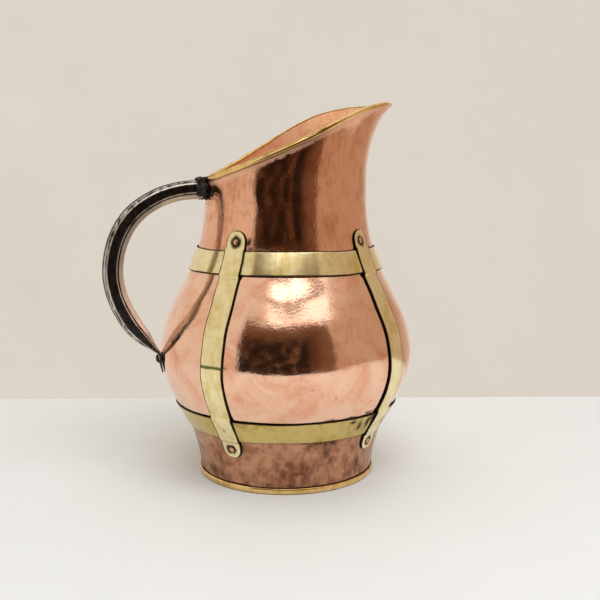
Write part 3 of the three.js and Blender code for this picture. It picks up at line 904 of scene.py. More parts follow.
# Forged iron, blacked and rubbed by hands; its pale rubbed colour is partly worn edges and partly
# painted highlights along the handle's ridges and inner band.
BLACKED_IRON = WorkedMetal(
    name="blacked_iron", polished="#332c28", tarnished="#100d0c", blackening="#080706",
    tarnish_from=0.4, tarnish_to=0.6, roughness=0.24, tarnish_roughness=0.36, cloud_mm=9,
    streak_share=0.6, streak_mm=1.6, streak_stretch=5, mark_mm=8, mark_depth_mm=0.08,
    ripple_mm=2.0, ripple_depth_mm=0.04, speck_share=0.2, crevice_mm=1.2, crevice_from=0.4,
    crevice_to=0.65, metallic=0.6, rubbed_sheen="#d2c8bc", rubbed_roughness=0.28)
# Soft solder gone black with soot and polish.
BLACK_SOLDER = WorkedMetal(
    name="sooted_solder", polished="#2e2a28", tarnished="#0f0d0c", blackening="#070606",
    roughness=0.28, tarnish_roughness=0.55, cloud_mm=5, mark_mm=3, mark_depth_mm=0.35,
    ripple_mm=1.4, ripple_depth_mm=0.15, speck_share=0.2, metallic=0.5)


# ------------------------------------------------------------------ copper vessel


@dataclass
class CopperVessel:
    """The raised copper: skirt, belly, neck with its spout, and the floor let into the foot."""

    form: JugForm
    steps: int = 384
    row: float = 2 * MM
    unevenness: float = 0.12 * MM
    fade_rate: float = 12
    rubbed_sheen_rise: float = 10 * MM
    hoop_shadow: float = 1.7
    hoop_shadow_rise: float = 1.8 * MM
    skirt_bottom: float = 1.5 * MM
    floor_rim: float = 9.2 * MM
    floor_crown: float = 2 * MM
    floor_flange: float = 5.4 * MM

    def build(self) -> None:
        """Makes and dresses the four copper pieces."""
        half = self.form.gap / 2
        lower, upper = self.form.lower_seam, self.form.upper_seam
        inside = INNER_COPPER.build()
        self.shell("copper_skirt", self.skirt_bottom, lower - half, SKIRT_COPPER, inside,
                   SKIRT_SMEARS, "foot_skirt")
        self.shell("copper_belly", lower + half, upper - half, PLANISHED_COPPER, inside,
                   BELLY_SMEARS, "belly_shell")
        self.shell("copper_neck", upper + half, self.form.lip_height, NECK_COPPER, inside,
                   NECK_SMEARS, "neck_and_spout")
        self.floor()

    def shell(self, name: str, bottom: float, top: float, metal: WorkedMetal,
              inner: bpy.types.Material, smears: Sequence[Smear], node: str) -> None:
        """Raises one wall of the vessel from a spun blank.

        Args:
            name: name of the piece.
            bottom: height of its lower edge.
            top: height of its upper edge; at the neck it follows the mouth instead.
            metal: its finish outside.
            inner: its material inside.
            smears: its patches of dirt.
            node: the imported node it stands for.
        """
        form = self.form
        rows = round((top - bottom) / self.row)
        radius = form.throat_radius
        blank = [(radius, step / rows * BLANK_HEIGHT) for step in range(rows + 1)]
        piece = spin_up(name, blank, self.steps, form.axis_x)
        mouth = top >= form.lip_height

        def raise_wall(points: np.ndarray) -> np.ndarray:
            """Puts each corner of the blank on the copper's outer face."""
            turn, _ = form.polar(points)
            share = np.clip(points[:, 2] / BLANK_HEIGHT, 0, 1)
            end = form.mouth_height(turn) if mouth else top
            height = bottom + (end - bottom) * share
            ease = np.clip(np.minimum(share, 1 - share) * self.fade_rate, 0, 1)
            sunk = self.unevenness * ease * (1 + wander(turn, bottom * 50))
            return form.off_skin(turn, height, -sunk)

        reshape(piece, raise_wall)
        hammer(piece, "CLOUDS", size=34 * MM, depth=0.5 * MM, level=0.85)
        hammer(piece, "VORONOI", size=11 * MM, depth=0.07 * MM, level=1.0)
        outer = metal.build()
        piece.data.materials.append(outer)
        piece.data.materials.append(inner)
        work(piece, "SOLIDIFY", thickness=form.sheet, offset=-1, use_even_offset=False,
             material_offset=1)
        smirch(piece, form, smears)
        # Painted shadow: a dark band along the lower hoop's bottom edge, where the hoop shades the
        # skirt.
        under_hoop = corners(piece)[:, 2] - (form.lower_seam - form.hoop_rise / 2)
        near_hoop = np.clip(1 - np.abs(under_hoop) / self.hoop_shadow_rise, 0, 1)
        mark(piece, "smear", self.hoop_shadow * near_hoop)
        # Wear and painted reflection: the band under the mouth's edge turns satin and takes the
        # lighter rubbed colour, standing in for a lighter reflection.
        if mouth:
            points = corners(piece)
            turn, _ = form.polar(points)
            below = (form.mouth_height(turn) - points[:, 2]) / self.rubbed_sheen_rise
            mark(piece, "rub_and_sheen", np.clip(1.5 - below, 0, 1))
        finish(piece, outer, Slot.COPPER, node)

    def floor(self) -> None:
        """Turns the dished floor with its flange."""
        form = self.form
        edge = float(form.side_radius(np.array(self.floor_rim))) - form.sheet - 2 * form.gap
        crown = self.floor_rim + self.floor_crown
        sheet = form.sheet
        top = [(edge * share, crown - self.floor_crown * share ** 2)
               for share in (0, 0.12, 0.25, 0.4, 0.55, 0.7, 0.82, 0.92, 0.975)]
        bend = [(edge - 0.6 * MM, self.floor_rim - 0.15 * MM), (edge, self.floor_rim - 0.8 * MM)]
        under = [(min(radius, edge - sheet), height - sheet) for radius, height in reversed(top)]
        flange = [(edge, self.floor_flange), (edge - sheet, self.floor_flange)]
        piece = spin_up("copper_floor", [*top, *bend, *flange, *under], 192, form.axis_x)
        hammer(piece, "VORONOI", size=12 * MM, depth=0.2 * MM, level=0.6)
        finish(piece, SKIRT_COPPER.build(), Slot.COPPER, "base_plate")


# ------------------------------------------------------------------ brass bindings


@dataclass
class BrassBindings:
    """The brass round the vessel: two hoops, the foot ring and the binding of the mouth."""

    form: JugForm
    steps: int = 384
    hoop_sway: float = 0.3 * MM
    bead_sway: float = 0.12 * MM
    leg_at_lip: float = 2.4 * MM
    leg_at_heel: float = 4.6 * MM
    look_aside: float = 0.004
    ring_rise: float = 5.8 * MM
    ring_out: float = 1.8 * MM

    def build(self) -> None:
        """Makes and dresses the four bindings."""
        # The lower hoop takes the darker brass, painted shade.
        self.hoop("brass_lower_hoop", self.form.lower_seam, 0.4, SHADED_BRASS, "lower_hoop")
        self.hoop("brass_upper_hoop", self.form.upper_seam, 2.1, STRIP_BRASS, "upper_hoop")
        self.foot_ring()
        self.rim_binding()

    def hoop(self, name: str, seam: float, seed: float, metal: WorkedMetal, node: str) -> None:
        """Bends one flat hoop round the vessel.

        Args:
            name: name of the piece.
            seam: height of the seam it covers.
            seed: makes this hoop's unevenness its own.
            metal: its finish.
            node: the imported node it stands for.
        """
        form = self.form
        thick, half = form.hoop_thick, form.hoop_rise / 2
        turning = form.throat_radius
        soft = 0.3 * MM
        face = [(turning + thick, half * share)
                for share in (-0.94, -0.88, -0.6, -0.3, 0, 0.3, 0.6, 0.88, 0.94)]
        back = [(turning, half * share) for share in (0.6, 0, -0.6)]
        section = [(turning + thick - soft, -half), *face, (turning + thick - soft, half),
                   (turning, half), *back, (turning, -half)]
        piece = spin_up(name, section, self.steps, form.axis_x, closed=True)

        def bend(points: np.ndarray) -> np.ndarray:
            """Lays each corner of the straight hoop round the copper."""
            turn, radius = form.polar(points)
            across = radius - turning
            side = points[:, 2] / half
            uneven = self.hoop_sway * (wander(turn, seed) + side * wander(turn, seed + 3))
            low = form.off_skin(turn, np.full_like(turn, seam - half), form.gap)
            high = form.off_skin(turn, np.full_like(turn, seam + half), form.gap)
            straight = low + (high - low) * (side[:, None] + 1) / 2
            curved = form.off_skin(turn, seam + points[:, 2], form.gap)
            out = form.outward(turn, np.full_like(turn, seam))
            proud = np.sum((straight - curved) * out, axis=1)
            spread = form.hoop_spread * (1 - side) / 2 if seam == form.upper_seam else 0.0
            lie = curved + out * (np.maximum(proud, 0) + across + spread)[:, None]
            lie[:, 2] += uneven
            return lie

        from_seam = np.abs(corners(piece)[:, 2]) / half
        mark(piece, "smear", np.select([from_seam > 0.97, from_seam > 0.91],
                                       [BORDER_GRIME, BESIDE_GRIME], 0.0))
        reshape(piece, bend)
        settle(piece)
        hammer(piece, "CLOUDS", size=16 * MM, depth=0.12 * MM, level=0.2)
        smirch(piece, form, HOOP_SMEARS)
        finish(piece, metal.build(), Slot.BRASS, node)

    def foot_ring(self) -> None:
        """Rolls the half-round ring that the jug stands on."""
        form = self.form
        turning = form.foot_radius
        inner = -form.sheet - form.gap - 1.1 * MM
        out, rise = self.ring_out, self.ring_rise
        bulge, floor, top, corner = 1.1 * MM, 1.2 * MM, 5.1 * MM, 0.5 * MM
        inside = -form.sheet - form.gap
        bead = [(out - bulge + bulge * math.cos(math.radians(angle)),
                 rise / 2 + rise / 2 * math.sin(math.radians(angle)))
                for angle in range(-90, 91, 15)]
        section = [(inner + corner, 0), *bead, (form.gap, rise), (form.gap, floor),
                   (inside, floor), (inside, top), (inner, top), (inner, corner)]
        piece = spin_up("brass_foot_ring", [(turning + out, up) for out, up in section],
                        self.steps, form.axis_x, closed=True)

        def lay(points: np.ndarray) -> np.ndarray:
            """Carries the ring out with the flare of the foot."""
            turn, radius = form.polar(points)
            height = points[:, 2]
            return form.placed(turn, form.side_radius(height) + radius - turning, height)

        reshape(piece, lay)
        settle(piece)
        finish(piece, BEAD_BRASS.build(), Slot.BRASS, "foot_ring", angle=50)

    def rim_binding(self) -> None:
        """Folds the binding over the mouth's edge: a bead above, a flat leg below outside."""
        form = self.form
        turning = form.throat_radius
        section_mm = (
            (-1.74, -0.5), (-1.8, 0.0), (-1.7, 0.42), (-1.3, 0.74), (-0.7, 0.92), (0.0, 1.0),
            (0.7, 0.94), (1.2, 0.7), (1.5, 0.35), (1.55, 0.05), (1.42, -0.22), (1.08, -0.36),
            (1.06, -0.5), (1.4, -0.6), (1.52, -0.78), (1.42, -0.94), (1.1, -1.0), (0.3, -1.0),
            (0.3, -0.3), (0.3, 0.25), (-1.5, 0.25), (-1.5, -0.5))
        section = [(turning + out, up) for out, up in in_mm(section_mm)]
        piece = spin_up("brass_rim_binding", section, self.steps, form.axis_x, closed=True)

        def fold(points: np.ndarray) -> np.ndarray:
            """Stands the section square on the mouth's edge."""
            turn, radius = form.polar(points)
            out, up = radius - turning, points[:, 2]
            edge_height = form.mouth_height(turn)
            edge = form.skin(turn, edge_height)
            behind, ahead = (form.skin(near, form.mouth_height(near))
                             for near in (turn - self.look_aside, turn + self.look_aside))
            sheet_out = form.outward(turn, edge_height)
            sheet_up = unit(np.cross(sheet_out, unit(ahead - behind)))
            heel_share = (1 - np.cos(turn)) / 2
            leg = (self.leg_at_lip + (self.leg_at_heel - self.leg_at_lip) * heel_share) / MM
            leg_top = -0.5 * MM
            stretched = leg_top + (up - leg_top) * (leg - 0.5) * 2
            rise = np.where((out > 0) & (up < leg_top), stretched, up)
            uneven = self.bead_sway * wander(turn, 5.2, 6)
            return edge + sheet_out * out[:, None] + sheet_up * (rise + uneven)[:, None]

        reshape(piece, fold)
        settle(piece)
        finish(piece, BEAD_BRASS.build(), Slot.BRASS, "rim_binding", angle=60)


# ------------------------------------------------------------------ straps and rivets


@dataclass
class StrapSet:
    """Four brass straps riveted over both hoops, with a copper rivet near each end."""

    form: JugForm
    bottom: float = 33.6 * MM
    top: float = 240.2 * MM
    end_width: float = 19.6 * MM
    mid_width: float = 22.8 * MM
    thick: float = 1.0 * MM
    sway: float = 0.25 * MM
    least_half: float = 0.02 * MM
    rivet_grime: tuple[float, float, float] = (4.3, 4.3, 1.7)
    dish_radius: float = 5.0 * MM
    dish_depth: float = 0.7 * MM
    upper_rivet: float = 230.4 * MM
    lower_rivet: float = 41.4 * MM
    heights: np.ndarray = field(init=False)

    def __post_init__(self) -> None:
        """Finds the heights that lie evenly along the strap's own length."""
        fine = np.linspace(self.bottom, self.top, 2000)
        radius = self.form.side_radius(fine)
        length = np.concatenate([[0], np.cumsum(np.hypot(np.diff(fine), np.diff(radius)))])
        self.heights = np.stack([length / length[-1], fine])
        self.length = float(length[-1])

    def build(self) -> None:
        """Makes the straps and rivets, each strap its own mesh."""
        for place in StrapPlace:
            name = place.name.lower()
            stained = place is StrapPlace.FRONT_HANDLE_SIDE
            self.strap(name, math.radians(place.value), STAINED_BRASS if stained else STRIP_BRASS)
        self.rivets()

    def strap(self, name: str, turn: float, metal: WorkedMetal) -> None:
        """Cuts and bends one strap.

        Args:
            name: the strap's place.
            turn: angle round from the spout.
            metal: its finish.
        """
        form = self.form
        bpy.ops.object.select_all(action="DESELECT")
        bpy.ops.mesh.primitive_grid_add(x_subdivisions=26, y_subdivisions=300, size=2)
        piece = begin(f"brass_strap_{name}")

        def lay(points: np.ndarray) -> np.ndarray:
            """Rounds the ends, swells the middle and lays the strap on the copper."""
            radius = self.end_width / 2
            along = (1 - np.cos((points[:, 1] + 1) * math.pi / 2)) / 2
            near = (points[:, 1] + 1) / 2
            share = np.clip(0.35 * along + 0.65 * near, 0, 1)
            height = np.interp(share, *self.heights)
            from_tip = np.minimum(share, 1 - share) * self.length
            swell = np.sin(math.pi * share)
            half = (self.end_width + (self.mid_width - self.end_width) * swell) / 2
            inset = np.clip(radius - from_tip, 0, radius - self.least_half)
            half = np.where(from_tip < radius, np.sqrt(radius ** 2 - inset ** 2), half)
            uneven = self.sway * np.sin(share * 31 + turn * 3) * swell
            around = turn + (points[:, 0] * half + uneven) / form.side_radius(height)
            return form.off_skin(around, height, form.gap + form.strap_lift(height))

        reshape(piece, lay)
        settle(piece, 0.05 * MM)
        self.face_outwards(piece)
        self.blacken_border(piece)
        work(piece, "SOLIDIFY", thickness=self.thick, offset=1, use_even_offset=False)
        reshape(piece, lambda points: self.dish(points, turn))
        work(piece, "BEVEL", width=0.3 * MM, segments=2, limit_method="ANGLE",
             angle_limit=math.radians(50))
        hammer(piece, "CLOUDS", size=13 * MM, depth=0.1 * MM, level=0.2)
        smirch(piece, form, STRAP_SMEARS)
        smirch(piece, form, [Smear(math.degrees(turn), height / MM, *self.rivet_grime)
                             for height in (self.lower_rivet, self.upper_rivet)])
        finish(piece, metal.build(), Slot.BRASS, f"strap_{name}")

    def blacken_border(self, piece: Piece) -> None:
        """Marks the border of an open sheet as dirty, and more faintly the row beside it."""
        border = np.zeros(len(piece.data.vertices), dtype=bool)
        for wider, blackening in ((False, BORDER_GRIME), (True, BESIDE_GRIME)):
            with editing(piece):
                bpy.ops.mesh.select_mode(type="VERT")
                bpy.ops.mesh.select_all(action="DESELECT")
                bpy.ops.mesh.select_non_manifold(extend=False)
                if wider:
                    bpy.ops.mesh.select_more()
            piece.data.vertices.foreach_get("select", border)
            mark(piece, "smear", border * blackening)

    def face_outwards(self, piece: Piece) -> None:
        """Turns an open sheet so that its faces look away from the axis."""
        face = piece.data.polygons[len(piece.data.polygons) // 2]
        away = Vector((face.center.x - self.form.axis_x, face.center.y, 0))
        if face.normal.dot(away) < 0:
            with editing(piece):
                bpy.ops.mesh.flip_normals()

    def dish(self, points: np.ndarray, turn: float) -> np.ndarray:
        """Sinks the outer face round both rivets.

        Args:
            points: the strap's corners, one row each.
            turn: the strap's angle round from the spout.

        Returns:
            The corners moved.
        """
        form = self.form
        moved = points.copy()
        for height in (self.lower_rivet, self.upper_rivet):
            spot, level = np.array([turn]), np.array([height])
            centre = form.skin(spot, level)[0]
            out = form.outward(spot, level)[0]
            offset = points - centre
            depth = offset @ out
            reach = np.linalg.norm(offset - depth[:, None] * out, axis=1)
            share = np.clip(1 - reach / self.dish_radius, 0, 1)
            sink = self.dish_depth * np.clip(share * 5, 0, 1) ** 0.8
            outer = depth > form.gap + self.thick * 0.5 - reach ** 2 / (2 * form.throat_radius)
            moved -= np.where(outer & (reach < self.dish_radius), sink, 0)[:, None] * out
        return moved

    def rivets(self) -> None:
        """Turns one rivet and sets a copy of it at both ends of every strap."""
        model = spin_up("rivet_pattern", in_mm((
            (0, -2.75), (1.3, -2.7), (2.2, -2.45), (2.65, -2.05), (2.6, -1.75), (1.7, -1.7),
            (1.7, 0.5), (2.3, 0.55), (2.6, 0.8), (2.5, 1.25), (2.0, 1.65), (1.2, 1.88),
            (0.5, 1.97), (0, 2.0))), 32)
        hammer(model, "CLOUDS", size=2.2 * MM, depth=0.3 * MM, level=0.5)
        metal = RIVET_COPPER.build()
        for place in StrapPlace:
            for end, height in (("upper", self.upper_rivet), ("lower", self.lower_rivet)):
                self.set_rivet(model, metal, place, end, height)
        bpy.data.objects.remove(model)

    def set_rivet(self, model: Piece, metal: bpy.types.Material, place: StrapPlace,
                  end: str, height: float) -> None:
        """Copies the rivet to one hole.

        Args:
            model: the finished rivet, upright at the origin.
            metal: its material.
            place: the strap it holds.
            end: which end of the strap, upper or lower.
            height: height of the hole.
        """
        name = place.name.lower()
        piece = model.copy()
        piece.data = model.data.copy()
        piece.name = f"copper_rivet_{end}_{name}"
        bpy.context.scene.collection.objects.link(piece)
        piece.data.transform(self.form.rivet_stand(math.radians(place.value), height))
        finish(piece, metal, Slot.RIVET, f"{end}_rivet_{name}")


# ------------------------------------------------------------------ iron handle


@dataclass
class IronHandle:
    """The forged bar with its tail on the belly, its tenon, tail rivet and solder collar."""

    form: JugForm
    reach: float
    top_height: float = 277.5 * MM
    rivet_height: float = 117.2 * MM
    thick: float = 19.4 * MM
    wide: float = 20 * MM
    rows: int = 300
    steps: int = 96
    collar_length: float = 9.5 * MM
    collar_radius: float = 11 * MM
    collar_rise: float = 1 * MM
    collar_clear: float = 0.24 * MM

    # Stations of the bar: share of the way out, share of the way up, share of the section.
    bar: Sequence[tuple[float, float, float, float]] = (
        (0.005, 1, 0.95, 0.95), (0.3, 0.985, 0.92, 0.95), (0.55, 0.937, 0.94, 0.97),
        (0.77, 0.85, 0.97, 1), (0.925, 0.72, 1, 1), (1, 0.535, 1, 1), (0.955, 0.37, 1, 1),
        (0.82, 0.218, 0.96, 0.97), (0.7, 0.136, 0.78, 0.88))
    # Stations of the tail in mm: out of the copper, above the rivet, thickness and width.
    tail: Sequence[tuple[float, float, float, float]] = (
        (8, 11, 7.2, 16), (3, 6, 3.8, 14.5), (1.75, 0.5, 2.6, 13), (1.5, -6, 2.1, 9),
        (1.2, -13.8, 1.3, 2.6))
    # Half of the section, [across, out]: crown, groove, broad flank, edge, inner band.
    section: Outline = (
        (0, 1), (0.3, 0.99), (0.45, 0.95), (0.53, 0.89), (0.61, 0.92), (0.73, 0.88), (0.85, 0.75),
        (0.93, 0.61), (0.96, 0.53), (1, 0.44), (1, -0.22), (0.98, -0.28), (0.93, -0.34),
        (0.92, -0.38), (0.81, -0.5), (0.78, -0.56), (0.58, -0.9), (0.48, -0.97), (0, -1))
    # How pale each corner of that section is painted: partly hand wear, partly painted highlights
    # and reflections on the ridges, edges and inner band.
    wear_and_sheen: Sequence[float] = (
        0.4, 0.45, 0.3, 0.1, 0.5, 0.75, 0.5, 0.95, 0.4, 0, 0, 0.9, 0.9, 0.2, 0.35, 1.2, 1.2, 0.9,
        0.8)

    def build(self) -> None:
        """Makes and dresses the bar, the collar, the tenon's head and the tail rivet."""
        iron = BLACKED_IRON.build()
        self.forge_bar(iron)
        self.run_collar()
        self.peen_tenon(iron)
        self.set_tail_rivet(iron)

    def stations(self) -> tuple[np.ndarray, np.ndarray]:
        """Gathers the bar's and the tail's stations.

        Returns:
            Centres as reach and height, and sections as thickness and width.
        """
        face = self.form.throat_radius + self.form.gap
        rows = [(face + (self.reach - face) * out,
                 self.rivet_height + (self.top_height - self.rivet_height) * up,
                 thick * self.thick, wide * self.wide) for out, up, thick, wide in self.bar]
        for off, above, thick, wide in self.tail:
            height = self.rivet_height + above * MM
            radius = float(self.form.side_radius(np.array(height)))
            rows.append((radius + off * MM, height, thick * MM, wide * MM))
        table = np.array(rows)
        return table[:, :2], table[:, 2:]

    def forge_bar(self, iron: bpy.types.Material) -> None:
        """Draws the bar out along its curve and hammers it.

        Args:
            iron: its material.
        """
        form = self.form
        side = [(MM, row / self.rows * BLANK_HEIGHT) for row in range(self.rows + 1)]
        blank = [(0, 0), *side, (0, BLANK_HEIGHT)]
        piece = spin_up("iron_handle", blank, self.steps)
        centres, sizes = self.stations()
        half = np.array(self.section)
        mirrored = half[::-1] * (-1, 1)
        loop = np.vstack([half, mirrored[1:]])
        wear_and_sheen = np.array([*self.wear_and_sheen, *self.wear_and_sheen[-2::-1]])
        runs = np.concatenate([[0], np.cumsum(np.linalg.norm(np.diff(loop, axis=0), axis=1))])
        runs /= runs[-1]

        def clock(points: np.ndarray) -> np.ndarray:
            """Reads how far round the blank each corner lies, from 0 to 1."""
            return (np.arctan2(points[:, 0], points[:, 1]) / math.tau) % 1.0

        def draw_out(points: np.ndarray) -> np.ndarray:
            """Bends the straight blank to the bar's path and gives it its section."""
            share = np.clip(points[:, 2] / BLANK_HEIGHT, 0, 1)
            radius = np.hypot(points[:, 0], points[:, 1]) / MM
            angle = clock(points)
            centre = smooth_path(centres, share)
            behind, ahead = (smooth_path(centres, np.clip(share + step, 0, 1))
                             for step in (-0.002, 0.002))
            along = unit(ahead - behind)
            size = smooth_path(sizes, share)
            across = np.interp(angle, runs, loop[:, 0]) * radius * size[:, 1] / 2
            out = np.interp(angle, runs, loop[:, 1]) * radius * size[:, 0] / 2
            reach = centre[:, 0] - out * along[:, 1]
            height = centre[:, 1] + out * along[:, 0]
            return np.stack([form.axis_x - reach, across, height], axis=-1)

        # Worn edges and painted highlights from the table above, faded out toward the tail's end.
        blank_points = corners(piece)
        ahead_of_tail = np.clip((1 - blank_points[:, 2] / BLANK_HEIGHT) * 8 - 0.4, 0, 1)
        mark(piece, "rub_and_sheen", np.interp(clock(blank_points), runs, wear_and_sheen) * ahead_of_tail)
        reshape(piece, draw_out)
        settle(piece)
        hammer(piece, "VORONOI", size=9 * MM, depth=0.2 * MM, level=0.7)
        hammer(piece, "CLOUDS", size=22 * MM, depth=0.45 * MM, level=0.5)
        finish(piece, iron, Slot.IRON, "handle", angle=28)

    def run_collar(self) -> None:
        """Runs a lump of solder round the bar's root."""
        form = self.form
        length, radius = self.collar_length, self.collar_radius
        under_rim, fade = 1.6 * MM, 1.5 * MM
        outline = [(9.4 * MM, -1.5 * MM), (radius * 0.97, -1.4 * MM), (radius, 1 * MM),
                   (radius * 1.02, length * 0.35), (radius * 0.99, length * 0.62),
                   (radius * 0.93, length * 0.85), (radius * 0.86, length), (8.9 * MM, length)]
        last = len(outline) - 1
        places = np.linspace(0, last, 6 * last + 1)
        fine = [np.interp(places, range(last + 1), side).tolist() for side in zip(*outline)]
        piece = spin_up("solder_collar", list(zip(*fine)), 96, closed=True)

        def lean(points: np.ndarray) -> np.ndarray:
            """Lays the ring along the bar and trims it to the neck's round."""
            along = points[:, 2]
            wide = points[:, 1] * 1.1
            high = points[:, 0]
            edge = form.throat_radius - np.sqrt(form.throat_radius ** 2 - wide ** 2)
            hug = np.clip(1 - along / (0.5 * length), 0, 1)
            reach = form.throat_radius + form.gap + along - edge * hug
            rise = self.top_height + self.collar_rise + high
            ceiling = form.heel_height - self.collar_clear
            close = np.clip(1 - (along - under_rim) / fade, 0, 1)
            rise = np.where(rise > ceiling, rise + (ceiling - rise) * close, rise)
            return np.stack([form.axis_x - reach, wide, rise], axis=-1)

        reshape(piece, lean)
        settle(piece)
        hammer(piece, "CLOUDS", size=5 * MM, depth=4.2 * MM, level=0.6)
        hammer(piece, "CLOUDS", size=2 * MM, depth=0.8 * MM, level=0.5)
        finish(piece, BLACK_SOLDER.build(), Slot.SOLDER, "handle_collar", angle=50)

    def peen_tenon(self, iron: bpy.types.Material) -> None:
        """Hammers over the bar's end inside the neck.

        Args:
            iron: its material.
        """
        form = self.form
        piece = spin_up("iron_tenon_head", in_mm((
            (0, 3.4), (2.2, 3.3), (4.2, 2.9), (5.4, 2.1), (5.6, 1.6), (5.2, 1.45), (3.5, 1.4),
            (3.5, -0.5), (0, -0.5))), 48)

        def turn_in(points: np.ndarray) -> np.ndarray:
            """Points the head into the neck."""
            return np.stack([form.axis_x - form.throat_radius + points[:, 2], points[:, 1],
                             self.top_height + points[:, 0]], axis=-1)

        reshape(piece, turn_in)
        settle(piece)
        hammer(piece, "CLOUDS", size=4 * MM, depth=0.6 * MM, level=0.5)
        finish(piece, iron, Slot.IRON)

    def set_tail_rivet(self, iron: bpy.types.Material) -> None:
        """Turns the rivet that holds the tail to the belly.

        Args:
            iron: its material.
        """
        piece = spin_up("iron_tail_rivet", in_mm((
            (0, -3.1), (1.8, -3.0), (3.2, -2.6), (3.6, -2.1), (3.4, -1.85), (2.2, -1.8),
            (2.2, 2.9), (4.1, 2.95), (4.3, 3.3), (4.0, 4.1), (3.1, 4.9), (1.8, 5.35), (0, 5.5))),
            48)
        piece.data.transform(self.form.rivet_stand(math.pi, self.rivet_height))
        hammer(piece, "CLOUDS", size=3 * MM, depth=0.5 * MM, level=0.5)
        finish(piece, iron, Slot.IRON, "tail_rivet")


# ------------------------------------------------------------------ studio


@dataclass
class Studio:
    """Pale floor, pale wall, soft light and the camera."""

    axis_x: float
    azimuth: float = -15.5
    distance: float = 833 * MM
    height: float = 282.5 * MM
    pitch: float = 82.2
    yaw: float = 0.96
    lens: float = 51
    floor_behind: float = 0.27
    floor_before: float = 0.68
    floor_half_width: float = 1.6
    floor_thick: float = 0.03
    wall: str = "#e3dbd0"
    wall_shade: str = "#d5cbbf"
    floor_paint: str = "#eaeef0"
    floor_shade: str = "#e4e8ea"
    light_size: tuple[float, float] = (1.7, 0.55)
    light_energy: float = 10.5
    light_colour: tuple[float, float, float] = (0.97, 0.98, 1.0)
    light_azimuth: float = 24
    light_rise: float = 50
    light_away: float = 1.5
    # The room that the jug reflects, each colour linear: bright walls, dim on the right, a
    # pale ceiling, the dark behind the camera with its browner edge, and a lamp with a bar.
    room: Colour = (0.78, 0.72, 0.64, 1)
    room_dim: Colour = (0.54, 0.41, 0.31, 1)
    ceiling: Colour = (1.0, 0.96, 0.9, 1)
    gloom: Colour = (0.02, 0.012, 0.008, 1)
    gloom_edge: Colour = (0.30, 0.17, 0.10, 1)
    glow: Colour = (2.5, 2.45, 2.4, 1)
    streak: Colour = (0.2, 0.12, 0.08, 1)

    def build(self) -> None:
        """Makes the camera, the floor and the light."""
        self.set_camera()
        self.lay_floor()
        self.hang_light()
        self.paint_world()
        settings = bpy.context.scene.view_settings
        settings.view_transform = "Standard"

    def set_camera(self) -> None:
        """Stands the camera where the jug is seen from."""
        data = bpy.data.cameras.new("studio_camera")
        data.lens = self.lens
        camera = bpy.data.objects.new("studio_camera", data)
        bpy.context.scene.collection.objects.link(camera)
        turn = math.radians(self.azimuth)
        camera.location = (self.axis_x + self.distance * math.sin(turn),
                           -self.distance * math.cos(turn), self.height)
        camera.rotation_euler = (math.radians(self.pitch), 0, turn - math.radians(self.yaw))
        data.clip_start, data.clip_end = 0.01, 100
        bpy.context.scene.camera = camera

    def lay_floor(self) -> None:
        """Lays the painted board that the jug stands on, square to the camera."""
        bpy.ops.object.select_all(action="DESELECT")
        depth = self.floor_before + self.floor_behind
        bpy.ops.mesh.primitive_cube_add(size=1, location=(0, 0, 0))
        floor = begin("studio_floor")
        turn = math.radians(self.azimuth)

        def place(points: np.ndarray) -> np.ndarray:
            """Sizes the board and turns it to face the camera."""
            x = points[:, 0] * 2 * self.floor_half_width
            y = points[:, 1] * depth + (self.floor_behind - self.floor_before) / 2
            z = (points[:, 2] - 0.5) * self.floor_thick
            return np.stack([self.axis_x + x * math.cos(turn) - y * math.sin(turn),
                             x * math.sin(turn) + y * math.cos(turn), z], axis=-1)

        reshape(floor, place)
        paint = bpy.data.materials.new("studio_floor_paint")
        wire = Wiring.of(paint)
        spot = wire.add("TexCoord", "Object", {})
        brushed = wire.noise(spot, 90 * MM, 8, 0.65)
        tone = wire.blend(brushed, linear(self.floor_shade), linear(self.floor_paint))
        grit = wire.relief([(wire.noise(spot, 4 * MM, 5), 0.6 * MM)], 0.6)
        wire.surface(tone, 0.7, grit)
        floor.data.materials.append(paint)

    def hang_light(self) -> None:
        """Hangs one large soft light above and to the right of the camera."""
        data = bpy.data.lights.new("soft_box", "AREA")
        data.shape = "RECTANGLE"
        data.size, data.size_y = self.light_size
        data.energy = self.light_energy
        data.color = self.light_colour
        light = bpy.data.objects.new("soft_box", data)
        bpy.context.scene.collection.objects.link(light)
        turn = math.radians(self.azimuth + self.light_azimuth)
        rise = math.radians(self.light_rise)
        place = Vector((math.sin(turn) * math.cos(rise), -math.cos(turn) * math.cos(rise),
                        math.sin(rise))) * self.light_away
        light.location = place + Vector((self.axis_x, 0, 0.2))
        light.rotation_euler = place.to_track_quat("Z", "Y").to_euler()
        light.visible_glossy = False

    def paint_world(self) -> None:
        """Surrounds the jug with a pale room that has a dark side behind the camera.

        Limits round the camera are in degrees, right of it positive; limits upward are the
        sine of the height above the horizon.
        """
        world = bpy.data.worlds.new("studio_room")
        bpy.context.scene.world = world
        wire = Wiring.of(world)
        way = wire.add("TexCoord", "Generated", {})
        turn = math.radians(self.azimuth)
        near, right = (
            wire.add("VectorMath", "Value", {0: way, 1: side}, operation="DOT_PRODUCT")
            for side in ((math.sin(turn), -math.cos(turn), 0), (math.cos(turn), math.sin(turn), 0)))
        around = wire.math("ARCTAN2", right, near)
        up = wire.add("SeparateXYZ", "Z", {0: way})
        rough = wire.noise(way, 1 / 9, 5, 0.7)
        shake = wire.math("SUBTRACT", rough, 0.5)

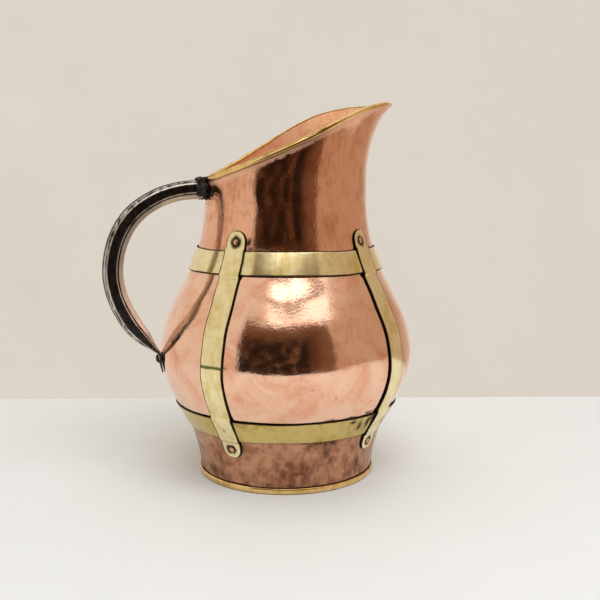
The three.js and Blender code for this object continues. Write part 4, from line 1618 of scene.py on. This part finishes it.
        def band(value: Socket, low: float, high: float, soft: float, ragged: float) -> Socket:
            """Marks where a value lies between two limits.

            Args:
                value: what is measured.
                low: lower limit.
                high: upper limit.
                soft: width of the fade at each limit.
                ragged: how far the limits wander.

            Returns:
                One inside the band and nothing outside it.
            """
            reach = (high - low) / 2
            moved = wire.math("MULTIPLY_ADD", shake, ragged, value)
            offset = wire.math("SUBTRACT", moved, (low + high) / 2)
            return wire.ramp(wire.math("ABSOLUTE", offset), reach + soft, reach - soft, kind=SMOOTH)

        def beside(low: float, high: float, soft: float, ragged: float) -> Socket:
            """Marks a band round the camera, its limits in degrees."""
            return band(around, math.radians(low), math.radians(high), soft, ragged)

        dark = wire.math("MULTIPLY", beside(-44, 44, 0.03, 0.2),
                         band(up, -0.9, math.sin(math.radians(37.5)), 0.015, 0.1))
        dim = wire.math("MULTIPLY", beside(30, 150, 0.3, 0.2), band(up, -1.2, 0.6, 0.1, 0.1))
        glow_round = beside(-24, 56, 0.08, 0.3)
        streak = wire.math("MULTIPLY", glow_round, band(up, 0.69, 0.732, 0.01, 0.1))
        glow_faint = wire.math("MULTIPLY", band(up, 0.625, 0.69, 0.012, 0.05), 0.5)
        glow_high = wire.math("MAXIMUM", band(up, 0.735, 0.86, 0.02, 0.08), glow_faint)
        glow = wire.math("MULTIPLY", glow_round, glow_high)
        room = wire.blend(dim, self.room, self.room_dim)
        room = wire.blend(wire.ramp(up, 0.8, 0.95), room, self.ceiling)
        room = wire.blend(streak, room, self.streak)
        gloom_side = wire.ramp(around, math.radians(20), math.radians(34), high=0.62)
        gloom_edge = wire.math("MAXIMUM", wire.ramp(up, 0.36, 0.56, high=0.55), gloom_side)
        gloom_share = wire.math("MAXIMUM", wire.ramp(rough, 0.5, 0.72), gloom_edge)
        room = wire.blend(dark, room, wire.blend(gloom_share, self.gloom, self.gloom_edge))
        room = wire.blend(glow, room, self.glow)
        cloth = wire.noise(way, 1 / 5, 9, 0.75)
        hung = wire.blend(cloth, linear(self.wall_shade), linear(self.wall))
        seen = wire.add("LightPath", "Is Camera Ray", {})
        back = wire.add("Background", "Background", {"Color": wire.blend(seen, room, hung)})
        wire.add("OutputWorld", "", {"Surface": back})


# ------------------------------------------------------------------ assembly


def middle_and_size(node: str) -> tuple[Vector, Vector]:
    """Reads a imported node's box.

    Args:
        node: the node's name.

    Returns:
        The middle of its box and its size.
    """
    low, high = (Vector(corner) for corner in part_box(node))
    return (low + high) / 2, high - low


def main() -> None:
    """Builds the jug and its studio."""
    logging.basicConfig(level=logging.INFO, format="%(name)s %(message)s")
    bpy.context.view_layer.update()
    ring_middle, _ = middle_and_size("foot_ring")
    _, belly_size = middle_and_size("belly_shell")
    handle_low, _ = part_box("handle")
    form = JugForm(axis_x=ring_middle.x, belly_radius=round(belly_size.y / 2, 4),
                   lip_height=LIP_HEIGHT)
    Studio(form.axis_x).build()
    CopperVessel(form).build()
    BrassBindings(form).build()
    StrapSet(form).build()
    IronHandle(form, reach=form.axis_x - handle_low[0] - IronHandle.thick / 2).build()
    bpy.ops.object.select_all(action="DESELECT")


if __name__ == "__main__":
    main()
